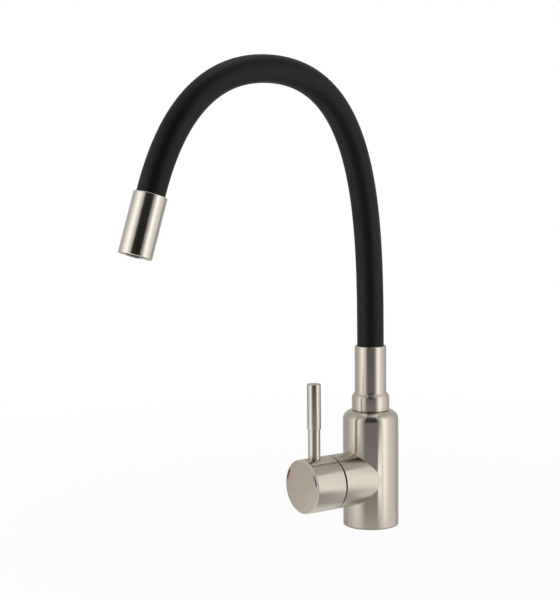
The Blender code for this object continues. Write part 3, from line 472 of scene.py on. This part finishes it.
# a narrow ring next to the rounded edge keeps the face's shading flat up to it
outline = [(0.0, cap["face"]), (cap["radius"] - cap["edge"] - cap["faceRing"], cap["face"])]
outline += topEdge(cap["radius"], cap["face"], cap["edge"], 6)
outline += [(cap["radius"], cap["back"] + cap["backEdge"]), (cap["radius"] - cap["backEdge"], cap["back"]),
            (cap["radius"] - cap["rimWall"], cap["back"]),
            (cap["radius"] - cap["wall"], cap["back"] + cap["taper"]),
            (cap["radius"] - cap["wall"], cavity), (0.0, cavity)]
handleCap = turned("handleCap", outline, cap["segments"], brushedNickel, onBranch, seam=-90.0)
# inside are the hub with the square hole for the stem, and the pad that the pin's thread goes into
combine(handleCap, drill(cap["hubRadius"], cap["hubBack"], cavity + gap, cap["hubSegments"],
                         onBranch), "UNION")
pinPlace = moved(0.0, -cap["pinReach"], body["branchHeight"])
combine(handleCap, drill(cap["padRadius"], cap["padFoot"], cap["radius"] - cap["edge"], cap["hubSegments"],
                         pinPlace), "UNION")
combine(handleCap, block((cap["stemHalf"] * 2, cap["stemHalf"] * 2, cap["stemFront"] - cap["back"]),
                         (0.0, 0.0, (cap["stemFront"] + cap["back"]) / 2), onBranch))
combine(handleCap, drill(cap["seatRadius"], cap["radius"] - cap["seatDepth"], cap["radius"] + over,
                         cap["seatSegments"], pinPlace))
combine(handleCap, drill(cap["threadRadius"], cap["threadFoot"] - gap, cap["radius"], cap["holeSegments"],
                         pinPlace))
combine(handleCap, drill(cap["grubRadius"], -cap["radius"] - over, 0.0, cap["holeSegments"],
                         moved(0.0, -cap["grubReach"], body["branchHeight"])))

marks = {
    "radius": 0.02145, "width": 0.0018, "depth": 0.0005, "low": 11.0, "high": 36.0, "steps": 18,
    "grooveGap": 0.0001, "sunk": 0.00005, "rounding": 0.00012, "roundingSteps": 2}


def markMesh(name, low, high, grow, rise):
    # a short curved bar in the cap's face between two angles, or the groove round it, with its ends square
    inner, outer = marks["radius"] - marks["width"] / 2 - grow, marks["radius"] + marks["width"] / 2 + grow
    bottom, top = cap["face"] - marks["depth"] - grow, cap["face"] + rise
    verts, faces = [], []
    spread = math.degrees(grow / marks["radius"])
    for i in range(marks["steps"] + 1):
        t = math.radians(low - spread + (high - low + spread * 2) * i / marks["steps"])
        for r, z in ((outer, top), (outer, bottom), (inner, bottom), (inner, top)):
            verts.append((r * math.cos(t), r * math.sin(t), z))
    for i in range(marks["steps"]):
        for k in range(4):
            n = (k + 1) % 4
            faces.append((i * 4 + k, i * 4 + n, i * 4 + 4 + n, i * 4 + 4 + k))
    last = marks["steps"] * 4
    faces += [(3, 2, 1, 0), (last, last + 1, last + 2, last + 3)]
    mesh = bpy.data.meshes.new(name)
    mesh.from_pydata(verts, [], faces)
    mesh.uv_layers.new(name="turning")
    return mesh


for name, low, high, finish, node in (
        ("coldMark", marks["low"], marks["high"], blueEnamel, "cold_mark"),
        ("hotMark", 180.0 - marks["high"], 180.0 - marks["low"], redEnamel, "hot_mark")):
    groove = markMesh("cutter", low, high, marks["grooveGap"], over)
    combine(handleCap, newPiece("cutter", groove, None, onBranch))
    mark = newPiece(name, markMesh(name, low, high, 0.0, -marks["sunk"]), finish, onBranch)
    rounding = mark.modifiers.new("soft edge", "BEVEL")
    rounding.width = marks["rounding"]
    rounding.segments = marks["roundingSteps"]
    settle(mark)
    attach(mark, "handle")
    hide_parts(node)
settle(handleCap)
# the flat face is blasted before plating, so it is evenly matt where the sides are brushed
# the rounded rim round it takes a lighter, duller plate, a painted highlight along the edge
handleCap.data.materials.append(blastedNickel)
handleCap.data.materials.append(rimNickelPaintedHighlight)
for polygon in handleCap.data.polygons:
    x, y, z = polygon.center
    fromAxis = math.hypot(x, z - body["branchHeight"])
    if polygon.normal.y < -cap["flatNormal"] and y < -cap["face"] + cap["flatDepth"]:
        polygon.material_index = 1
    elif y < cap["edge"] - cap["face"] and fromAxis > cap["radius"] - cap["edge"]:
        polygon.material_index = 2
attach(handleCap, "handle")
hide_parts("handle_cap")

pin = {
    "thin": 0.0054, "thick": 0.00615, "step": 0.0944, "top": 0.13475, "edge": 0.0007,
    "stepEdge": 0.00006, "foot": 0.06805, "footEdge": 0.0002, "studRadius": 0.0025, "studLength": 0.0088,
    "segments": 128}
outline = [(0.0, pin["top"])]
outline += topEdge(pin["thick"], pin["top"], pin["edge"], 6)
outline += footEdge(pin["thick"], pin["step"], pin["edge"], 6)
outline += [(pin["thin"] + pin["stepEdge"], pin["step"]), (pin["thin"], pin["step"] - pin["stepEdge"]),
            (pin["thin"], pin["foot"] + pin["footEdge"]), (pin["thin"] - pin["footEdge"], pin["foot"]),
            (pin["studRadius"], pin["foot"]), (pin["studRadius"], pin["foot"] - pin["studLength"]),
            (0.0, pin["foot"] - pin["studLength"])]
leverPin = turned("leverPin", outline, pin["segments"], brushedNickel, moved(0.0, -cap["pinReach"]))
settle(leverPin)
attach(leverPin, "handle")
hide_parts("lever_pin")
print("handle made")

# Neck sleeve

neck = {
    "ringRadius": 0.0169, "ringBottom": 0.1053, "ringTop": 0.1167, "ringEdge": 0.0005, "flareTop": 0.1225,
    "radius": 0.0142, "top": 0.16325, "lip": 0.0007, "bore": 0.01225, "flareSteps": 20, "segments": 192}
outline = [(neck["bore"] + neck["lip"] / 2, neck["top"])]
outline += topEdge(neck["radius"], neck["top"], neck["lip"], 6)
for i in range(neck["flareSteps"] + 1):
    share = i / neck["flareSteps"]
    out = (1.0 - math.cos(math.pi * share)) / 2
    outline.append((neck["radius"] + (neck["ringRadius"] - neck["radius"]) * out,
                    neck["flareTop"] + (neck["ringTop"] - neck["flareTop"]) * share))
outline += footEdge(neck["ringRadius"], neck["ringBottom"], neck["ringEdge"], 4)
outline += [(neck["bore"], neck["ringBottom"]), (neck["bore"], neck["top"] - neck["lip"] / 2)]
neckSleeve = turned("neckSleeve", outline, neck["segments"], neckNickelPaintedLight, closed=True)
settle(neckSleeve)
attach(neckSleeve, "spout_foot")
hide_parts("neck_sleeve")
print("neck made")

# Arched spout: sleeve, gooseneck and water hose

spout = {
    "foot": 0.1308, "neckTop": 0.16325, "crownReach": 0.11311, "crownHeight": 0.40672, "riseHandle": 0.11087,
    "rearHandle": 0.11162, "frontHandle": 0.07743, "outletHandle": 0.03439, "outletReach": 0.22698,
    "outletHeight": 0.3043, "outletTilt": 17.7, "intoOutlet": 0.0220, "samples": 160,
    "lowerBend": (0.16, 0.25), "crownHalf": 0.045, "outerBend": (0.75, 0.84), "lap": 0.00025,
    "sharpAngle": 40.0, "weld": 0.000005}
tilt = math.radians(spout["outletTilt"])
outletDown = Vector((0.0, -math.sin(tilt), -math.cos(tilt)))
outletTop = Vector((0.0, -spout["outletReach"], spout["outletHeight"]))
neckPoint = Vector((0.0, 0.0, spout["neckTop"]))
crownPoint = Vector((0.0, -spout["crownReach"], spout["crownHeight"]))
ahead, above = Vector((0.0, -1.0, 0.0)), Vector((0.0, 0.0, 1.0))
halves = (
    (neckPoint, neckPoint + above * spout["riseHandle"], crownPoint - ahead * spout["rearHandle"],
     crownPoint),
    (crownPoint, crownPoint + ahead * spout["frontHandle"], outletTop - outletDown * spout["outletHandle"],
     outletTop))
route = [Vector((0.0, 0.0, spout["foot"]))]
for number, (a, b, c, d) in enumerate(halves):
    for i in range(number, spout["samples"] + 1):
        t = i / spout["samples"]
        route.append(a * (1 - t) ** 3 + b * 3 * t * (1 - t) ** 2 + c * 3 * t * t * (1 - t) + d * t ** 3)
route.append(outletTop + outletDown * spout["intoOutlet"])
ways = [0.0]
for a, b in zip(route, route[1:]):
    ways.append(ways[-1] + (b - a).length)
hoseLength = ways[-1]
crownShare = ways[spout["samples"] + 1] / hoseLength
# between two bends each layer is cut square, in a stretch that keeps its shape
cutShares = (0.0, (spout["lowerBend"][1] + crownShare - spout["crownHalf"]) / 2,
             (crownShare + spout["crownHalf"] + spout["outerBend"][0]) / 2, 1.0)


def newTree(name, settings):
    # a geometry node tree with these inputs besides its geometry, and what each is called in the modifier
    tree = bpy.data.node_groups.new(name, "GeometryNodeTree")
    tree.interface.new_socket("Geometry", in_out="INPUT", socket_type="NodeSocketGeometry")
    inputs = {}
    for key, kind in settings.items():
        made = tree.interface.new_socket(key, in_out="INPUT", socket_type="NodeSocket" + kind)
        inputs[key] = made.identifier
    tree.interface.new_socket("Geometry", in_out="OUTPUT", socket_type="NodeSocketGeometry")
    return tree, inputs, addNode(tree, "NodeGroupInput").outputs


def joined(tree, first, second):
    both = addNode(tree, "GeometryNodeJoinGeometry")
    tree.links.new(first.outputs[0], both.inputs[0])
    tree.links.new(second.outputs[0], both.inputs[0])
    return both.outputs[0]


def giveOut(tree, given, mesh):
    # the tree's mesh takes its finish and leaves
    finished = addNode(tree, "GeometryNodeSetMaterial", None, {"Geometry": mesh, "Material": given["Finish"]})
    result = addNode(tree, "NodeGroupOutput")
    tree.links.new(finished.outputs[0], result.inputs[0])


def tubeTree():
    # a tube with a wall along a curve: trimmed by shares of its length, ribbed if asked, closed at both ends
    tree, inputs, given = newTree("tubeAlongRoute", {
        "Start Share": "Float", "End Share": "Float", "Radius": "Float", "Wall": "Float",
        "Ring Spacing": "Float", "Sides": "Int", "Rib Pitch": "Float", "Rib Depth": "Float",
        "Finish": "Material"})
    trimmed = addNode(tree, "GeometryNodeTrimCurve", {"mode": "FACTOR"}, {
        "Curve": given["Geometry"], "Start": given["Start Share"], "End": given["End Share"]})
    spaced = addNode(tree, "GeometryNodeResampleCurve", {"mode": "LENGTH"}, {
        "Curve": trimmed.outputs[0], "Length": given["Ring Spacing"]})
    along = addNode(tree, "GeometryNodeSplineParameter")
    kept = addNode(tree, "GeometryNodeCaptureAttribute", {"domain": "POINT"})
    kept.capture_items.new("FLOAT", "Way")
    tree.links.new(spaced.outputs[0], kept.inputs[0])
    tree.links.new(along.outputs["Length"], kept.inputs[1])
    ring = addNode(tree, "GeometryNodeCurvePrimitiveCircle", {"mode": "RADIUS"}, {
        "Resolution": given["Sides"], "Radius": given["Radius"]})
    skin = addNode(tree, "GeometryNodeCurveToMesh", None, {
        "Curve": kept.outputs[0], "Profile Curve": ring.outputs[0], "Fill Caps": False})
    turns = mathNode(tree, "DIVIDE", kept.outputs[1], given["Rib Pitch"])
    wave = mathNode(tree, "COSINE", mathNode(tree, "MULTIPLY", turns, math.tau))
    depth = mathNode(tree, "MULTIPLY", mathNode(tree, "SUBTRACT", wave, 1.0), given["Rib Depth"])
    normal = addNode(tree, "GeometryNodeInputNormal")
    inward = addNode(tree, "ShaderNodeVectorMath", {"operation": "SCALE"}, {
        0: normal.outputs[0], "Scale": depth})
    ribbed = addNode(tree, "GeometryNodeSetPosition", None, {
        "Geometry": skin.outputs[0], "Offset": inward.outputs[0]})
    grown = addNode(tree, "GeometryNodeExtrudeMesh", {"mode": "FACES"}, {
        "Mesh": ribbed.outputs[0], "Offset Scale": mathNode(tree, "MULTIPLY", given["Wall"], -1.0),
        "Individual": False})
    inside = addNode(tree, "GeometryNodeFlipFaces", None, {"Mesh": grown.outputs[0]})
    merged = addNode(tree, "GeometryNodeMergeByDistance", None, {
        "Geometry": joined(tree, inside, ribbed), "Distance": spout["weld"]})
    giveOut(tree, given, merged.outputs[0])
    return tree, inputs


def runTree(name, source, tree, inputs, values):
    # the tree's result becomes a plain mesh of its own, and the modifier goes with its carrier
    carrier = newObject("carrier", source)
    step = carrier.modifiers.new("tree", "NODES")
    step.node_group = tree
    for key, value in values.items():
        step[inputs[key]] = value
    depsgraph = bpy.context.evaluated_depsgraph_get()
    mesh = bpy.data.meshes.new_from_object(carrier.evaluated_get(depsgraph), depsgraph=depsgraph)
    mesh.name = name
    bpy.data.objects.remove(carrier, do_unlink=True)
    piece = newObject(name, mesh)
    mesh.shade_smooth()
    mesh.set_sharp_from_angle(angle=math.radians(spout["sharpAngle"]))
    return piece


routeCurve = bpy.data.curves.new("spoutRoute", "CURVE")
routeCurve.dimensions = "3D"
line = routeCurve.splines.new("POLY")
line.points.add(len(route) - 1)
for point, place in zip(line.points, route):
    point.co = (*place, 1.0)

layers = {
    "sleeve": {"Radius": 0.01195, "Wall": 0.0024, "Ring Spacing": 0.0030, "Sides": 72, "Rib Pitch": 0.01,
               "Rib Depth": 0.0, "Finish": matSilicone},
    "gooseneck": {"Radius": 0.0092, "Wall": 0.0010, "Ring Spacing": 0.00125, "Sides": 28, "Rib Pitch": 0.005,
                  "Rib Depth": 0.0002, "Finish": drawnSteel},
    "water_hose": {"Radius": 0.0070, "Wall": 0.0025, "Ring Spacing": 0.0040, "Sides": 32, "Rib Pitch": 0.01,
                   "Rib Depth": 0.0, "Finish": hoseRubber}}
stretches = (
    ("lower", ("rise", "lower_bend"), ("spout_foot", "spout_rear"), spout["lowerBend"]),
    ("crown", ("rear_arch", "crown_bend"), ("spout_rear", "spout_front"),
     (crownShare - spout["crownHalf"], crownShare + spout["crownHalf"])),
    ("outer", ("front_arch", "outer_bend", "drop"), ("spout_front", "spout_end"), spout["outerBend"]))
tube, tubeInputs = tubeTree()
# two stretches run into each other by this share on each side of a cut
lap = spout["lap"] / hoseLength
for layer, sizes in layers.items():
    for number, (stretch, sections, bodies, bend) in enumerate(stretches):
        values = dict(sizes)
        values["Start Share"] = max(0.0, cutShares[number] - lap)
        values["End Share"] = min(1.0, cutShares[number + 1] + lap)
        piece = runTree(layer.replace("water_hose", "waterHose") + stretch.capitalize(), routeCurve, tube,
                        tubeInputs, values)
        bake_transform(piece)
        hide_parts(*[layer + "_" + section for section in sections])
print("spout made,", round(hoseLength * 1000), "mm along its middle")

# Outlet with its aerator

outlet = {
    "radius": 0.01405, "length": 0.0512, "edge": 0.0007, "bore": 0.01225, "boreEdge": 0.0003,
    "chamber": 0.0126, "chamberDepth": 0.0300, "mouthWiden": 0.0001, "mouthEdge": 0.0002, "segments": 192}
# an outlet piece is drawn upright, with its own origin at the outlet's top edge
onOutlet = Matrix.Translation(outletTop) @ Matrix.Rotation(-tilt, 4, "X")
outline = [(outlet["bore"] + outlet["boreEdge"], 0.0)]
outline += topEdge(outlet["radius"], 0.0, outlet["edge"], 6)
outline += footEdge(outlet["radius"], -outlet["length"], outlet["edge"], 6)
outline += [(outlet["chamber"] + outlet["mouthWiden"], -outlet["length"]),
            (outlet["chamber"], outlet["mouthEdge"] - outlet["length"]),
            (outlet["chamber"], -outlet["chamberDepth"]), (outlet["bore"], -outlet["chamberDepth"]),
            (outlet["bore"], -outlet["boreEdge"])]
outletShell = turned("outletShell", outline, outlet["segments"], satinNickelPaintedLight, onOutlet, closed=True)
settle(outletShell)
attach(outletShell, "spout_end")
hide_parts("outlet_shell")

aerator = {
    "outer": 0.0123, "inner": 0.0102, "lip": 0.0095, "top": -0.0392, "bottom": -0.0504,
    "lipThickness": 0.0010, "edge": 0.0003, "insertRadius": 0.0099, "insertWall": 0.0008,
    "insertDepth": 0.0034, "meshPitch": 0.00125, "barWidth": 0.00042, "barHeight": 0.0011, "barLift": 0.0001,
    "barSpan": 1.98, "weave": 0.45,
    "segments": 128, "insertSegments": 96}
lipTop = aerator["bottom"] + aerator["lipThickness"]
outline = [(aerator["outer"], aerator["top"])]
outline += footEdge(aerator["outer"], aerator["bottom"], aerator["edge"], 4)
outline += arc(aerator["lip"] + aerator["edge"], aerator["bottom"] + aerator["edge"], aerator["edge"],
               -90, -180, 4)
outline += [(aerator["lip"], lipTop), (aerator["inner"], lipTop), (aerator["inner"], aerator["top"])]
aeratorHousing = turned("aeratorHousing", outline, aerator["segments"], aeratorNickelPaintedShade, onOutlet, closed=True)
settle(aeratorHousing)
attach(aeratorHousing, "spout_end")
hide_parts("aerator_housing")


def latticeTree():
    # two crossed layers of bars, each as long as the round it spans there
    tree, inputs, given = newTree("aeratorLattice", {
        "Radius": "Float", "Pitch": "Float", "Bar Width": "Float", "Bar Height": "Float", "Height": "Float",
        "Finish": "Material"})
    span = mathNode(tree, "MULTIPLY", given["Radius"], 2.0)
    count = mathNode(tree, "FLOOR", mathNode(tree, "DIVIDE", span, given["Pitch"]))
    begin = mathNode(tree, "MULTIPLY", mathNode(tree, "MULTIPLY", count, given["Pitch"]), -0.5)
    start = addNode(tree, "ShaderNodeCombineXYZ", None, {
        "X": mathNode(tree, "MULTIPLY_ADD", given["Pitch"], 0.5, begin)})
    step = addNode(tree, "ShaderNodeCombineXYZ", None, {"X": given["Pitch"]})
    row = addNode(tree, "GeometryNodeMeshLine", {"mode": "OFFSET"}, {
        "Count": count, "Start Location": start.outputs[0], "Offset": step.outputs[0]})
    # half a chord of the round, from a bar's distance to the middle
    spot = addNode(tree, "GeometryNodeInputPosition")
    offAxis = addNode(tree, "ShaderNodeSeparateXYZ", None, {0: spot.outputs[0]}).outputs["X"]
    squared = mathNode(tree, "MULTIPLY", offAxis, offAxis)
    limit = mathNode(tree, "MULTIPLY", given["Radius"], given["Radius"])
    chord = mathNode(tree, "SQRT", mathNode(tree, "SUBTRACT", limit, squared))
    barSize = addNode(tree, "ShaderNodeCombineXYZ", None, {
        "X": given["Bar Width"], "Y": 1.0, "Z": given["Bar Height"]})
    bar = addNode(tree, "GeometryNodeMeshCube", None, {"Size": barSize.outputs[0]})
    stretch = addNode(tree, "ShaderNodeCombineXYZ", None, {
        "X": 1.0, "Y": mathNode(tree, "MULTIPLY", chord, aerator["barSpan"]), "Z": 1.0})
    bars = addNode(tree, "GeometryNodeInstanceOnPoints", None, {
        "Points": row.outputs[0], "Instance": bar.outputs[0], "Scale": stretch.outputs[0]})
    real = addNode(tree, "GeometryNodeRealizeInstances", None, {"Geometry": bars.outputs[0]})
    rows = []
    for weave, turn in ((aerator["weave"], 0.0), (-aerator["weave"], math.radians(90.0))):
        lift = addNode(tree, "ShaderNodeCombineXYZ", None, {
            "Z": mathNode(tree, "MULTIPLY_ADD", given["Bar Height"], weave, given["Height"])})
        rows.append(addNode(tree, "GeometryNodeTransform", None, {
            "Geometry": real.outputs[0], "Translation": lift.outputs[0], "Rotation": (0.0, 0.0, turn)}))
    giveOut(tree, given, joined(tree, *rows))
    return tree, inputs


# the moulded insert: a thin-walled cup that drops into the housing, with the lattice across its mouth
insertTop, insertBottom = aerator["top"] - gap, lipTop + gap
insertBore = aerator["insertRadius"] - aerator["insertWall"]
insertFloor = insertBottom + aerator["insertDepth"]
outline = [(0.0, insertTop), (aerator["insertRadius"], insertTop), (aerator["insertRadius"], insertBottom),
           (insertBore, insertBottom), (insertBore, insertFloor), (0.0, insertFloor)]
aeratorInsert = turned("aeratorInsert", outline, aerator["insertSegments"], insertNylonPaintedShade, onOutlet)
settle(aeratorInsert)
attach(aeratorInsert, "spout_end")
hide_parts("aerator_insert")

lattice, latticeInputs = latticeTree()
aeratorLattice = runTree("aeratorLattice", bpy.data.meshes.new("empty"), lattice, latticeInputs, {
    "Radius": insertBore, "Pitch": aerator["meshPitch"], "Bar Width": aerator["barWidth"],
    "Bar Height": aerator["barHeight"], "Height": insertBottom + aerator["barHeight"] + aerator["barLift"],
    "Finish": insertNylonPaintedShade})
aeratorLattice.data.transform(onOutlet)
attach(aeratorLattice, "spout_end")
print("outlet made")

# Camera, floor and studio light

cameraSet = {
    "place": (1.0336266, -0.8500551, 0.3431589), "lens": 90.0, "sensor": 36.0,
    "right": (0.58804853, 0.80878068, -0.00852791), "up": (-0.07826662, 0.06739388, 0.9946519),
    "back": (0.80502997, -0.58423614, 0.1029314)}
cameraData = bpy.data.cameras.new("camera")
cameraData.lens = cameraSet["lens"]
cameraData.sensor_width = cameraSet["sensor"]
camera = newObject("camera", cameraData)
turn = Matrix((cameraSet["right"], cameraSet["up"], cameraSet["back"])).transposed()
camera.matrix_world = Matrix.Translation(cameraSet["place"]) @ turn.to_4x4()
scene.camera = camera

studio = {
    "whiteShare": 1.0, "glossShare": 0.27, "roomLevel": 0.38, "floorColour": "E6E4E0", "floorGlow": 0.96,
    "floorRadius": 9.0, "floorSides": 96, "fadeStart": 0.20, "fadeEnd": 0.8}
toCamera = math.atan2(cameraSet["back"][1], cameraSet["back"][0])


def backgroundShare(tree):
    # how much of the plain white backdrop a ray sees: all for the camera and through glass, a part in metal
    path = addNode(tree, "ShaderNodeLightPath")
    metal = mathNode(tree, "MULTIPLY", path.outputs["Is Glossy Ray"], studio["glossShare"])
    direct = mathNode(tree, "MAXIMUM", path.outputs["Is Camera Ray"], path.outputs["Is Transmission Ray"])
    return mathNode(tree, "MAXIMUM", direct, metal)


world = bpy.data.worlds.new("studio")
world.use_nodes = True
scene.world = world
tree = world.node_tree
tree.nodes.clear()
share = backgroundShare(tree)
room = addNode(tree, "ShaderNodeBackground", None, {
    "Color": linear("FFFFFF"), "Strength": studio["roomLevel"]})
white = addNode(tree, "ShaderNodeBackground", None, {
    "Color": linear("FFFFFF"), "Strength": studio["whiteShare"]})
mixed = addNode(tree, "ShaderNodeMixShader", None, {0: share, 1: room.outputs[0], 2: white.outputs[0]})
addNode(tree, "ShaderNodeOutputWorld", None, {"Surface": mixed.outputs[0]})

floorMaterial = bpy.data.materials.new("paleFloor")
floorMaterial.use_nodes = True
tree = floorMaterial.node_tree
tree.nodes.clear()
share = backgroundShare(tree)
place = addNode(tree, "ShaderNodeTexCoord")
distance = addNode(tree, "ShaderNodeVectorMath", {"operation": "LENGTH"}, {0: place.outputs["Object"]})
fade = addNode(tree, "ShaderNodeMapRange", {"interpolation_type": "SMOOTHSTEP"}, {
    "Value": distance.outputs["Value"], "From Min": studio["fadeStart"], "From Max": studio["fadeEnd"],
    "To Min": studio["floorGlow"], "To Max": 1.0})
amount = mathNode(tree, "MULTIPLY", fade.outputs[0], share)
matt = addNode(tree, "ShaderNodeBsdfDiffuse", None, {"Color": linear(studio["floorColour"])})
glow = addNode(tree, "ShaderNodeEmission", None, {
    "Color": linear("FFFFFF"), "Strength": studio["whiteShare"]})
mixed = addNode(tree, "ShaderNodeMixShader", None, {0: amount, 1: matt.outputs[0], 2: glow.outputs[0]})
addNode(tree, "ShaderNodeOutputMaterial", None, {"Surface": mixed.outputs[0]})
floorMesh = bpy.data.meshes.new("floor")
shape = bmesh.new()
bmesh.ops.create_circle(shape, cap_ends=True, segments=studio["floorSides"], radius=studio["floorRadius"])
shape.to_mesh(floorMesh)
shape.free()
floorMesh.materials.append(floorMaterial)
floor = newObject("floor", floorMesh)

middle = Vector((0.0, 0.0, 0.2))


def aside(degrees, distance, height):
    # a place round the tap, degrees to the camera's right of the line to the camera
    t = toCamera + math.radians(degrees)
    return Vector((middle.x + distance * math.cos(t), middle.y + distance * math.sin(t), height))


softbox = {"turn": 180.0, "distance": 0.3, "height": 2.2, "side": 1.2, "level": 0.8, "aimHeight": 0.15}
lampData = bpy.data.lights.new("overheadSoftbox", "AREA")
lampData.shape = "RECTANGLE"
lampData.size = lampData.size_y = softbox["side"]
# the face shines at the given level, so the watts follow its size
lampData.energy = softbox["level"] * math.pi * softbox["side"] * softbox["side"]
lamp = newObject("overheadSoftbox", lampData)
lamp.location = aside(softbox["turn"], softbox["distance"], softbox["height"])
lamp.rotation_mode = "QUATERNION"
aim = Vector((middle.x, middle.y, softbox["aimHeight"]))
lamp.rotation_quaternion = (aim - lamp.location).to_track_quat("-Z", "Y")

# boards round the tap, each lying on the floor and then rising like a quarter of a tent: a black one behind
# the camera gives the metal its middle band, white ones beside it give the bright bands
# the levels are how brightly a board shines at each turn from the camera, and the reach gives the share of
# that at each distance from the body, where the rest is the level of the floor before it; the floor levels
# and the low shares near the body are a painted reflection of the floor round the tap's foot, with painted
# shade under the cap
boards = (
    {"name": "blackCard", "top": 74.0, "topShare": 0.92, "floor": 0.66,
     "reach": ((0.001, 0.10), (0.04, 0.25), (0.08, 0.42), (0.25, 0.43), (0.60, 0.58), (1.00, 0.62),
               (1.50, 0.78), (1.75, 1.0)),
     "levels": ((-30, 0.0), (28, 0.0))},
    {"name": "leftReflector", "top": 42.0, "topShare": 1.0, "floor": 0.66,
     "reach": ((0.001, 0.20), (0.07, 0.45), (0.15, 0.95), (0.40, 1.0), (1.30, 1.0)),
     "levels": ((-118, 0.50), (-108, 0.62), (-96, 0.76), (-83, 1.05), (-70, 1.42), (-59, 1.42), (-48, 0.98),
                (-39, 0.60), (-31, 0.30))},
    {"name": "rightReflector", "top": 46.0, "topShare": 1.0, "floor": 0.84,
     "reach": ((0.001, 0.15), (0.04, 0.35), (0.08, 0.75), (0.15, 0.95), (0.40, 1.0), (1.30, 1.0)),
     "levels": ((29, 0.25), (37, 0.60), (45, 1.05), (54, 1.55), (62, 1.45), (72, 1.12), (88, 0.90),
                (106, 0.78), (124, 0.60))})
boardTurn, boardSteps, boardLift = 4, 12, 0.001
boardPaper, tree, shader = newMaterial("boardPaper", {
    "Base Color": linear("050505"), "Roughness": 0.9, "Specular IOR Level": 0.0,
    "Emission Color": linear("FFFFFF")})
glow = addNode(tree, "ShaderNodeAttribute", {"attribute_name": "level"})
tree.links.new(glow.outputs["Fac"], shader.inputs["Emission Strength"])
for board in boards:
    side = [(distance, boardLift, share) for distance, share in board["reach"]]
    far, farShare = board["reach"][-1]
    for i in range(1, boardSteps + 1):
        rise = math.radians(board["top"] * i / boardSteps)
        side.append((far * math.cos(rise), boardLift + far * math.sin(rise),
                     farShare + (board["topShare"] - farShare) * i / boardSteps))
    verts, faces, shine = [], [], []
    for (low, dim), (high, bright) in zip(board["levels"], board["levels"][1:]):
        steps = max(1, round((high - low) / boardTurn))
        for i in range(steps + (high == board["levels"][-1][0])):
            turn = low + (high - low) * i / steps
            # the rows leave the body the way light does that a round body mirrors to the camera
            start = aside(turn / 2, body["radius"], 0.0)
            verts += [start + aside(turn, distance, height) for distance, height, share in side]
            level = dim + (bright - dim) * i / steps
            # a row's shine goes from the floor level near the body to the board's level further out: painted
            # reflection of the floor, with painted shade under the cap
            shine += [board["floor"] + (level - board["floor"]) * share for distance, height, share in side]
    for first in range(0, len(verts) - len(side), len(side)):
        for k in range(first, first + len(side) - 1):
            faces.append((k, k + 1, k + len(side) + 1, k + len(side)))
    boardMesh = bpy.data.meshes.new(board["name"])
    boardMesh.from_pydata(verts, [], faces)
    boardMesh.attributes.new("level", "FLOAT", "POINT").data.foreach_set("value", shine)
    boardMesh.materials.append(boardPaper)
    stand = newObject(board["name"], boardMesh)
    stand.visible_camera = False
    stand.visible_diffuse = False
    stand.visible_shadow = False

scene.view_settings.view_transform = "Standard"
print("studio made")
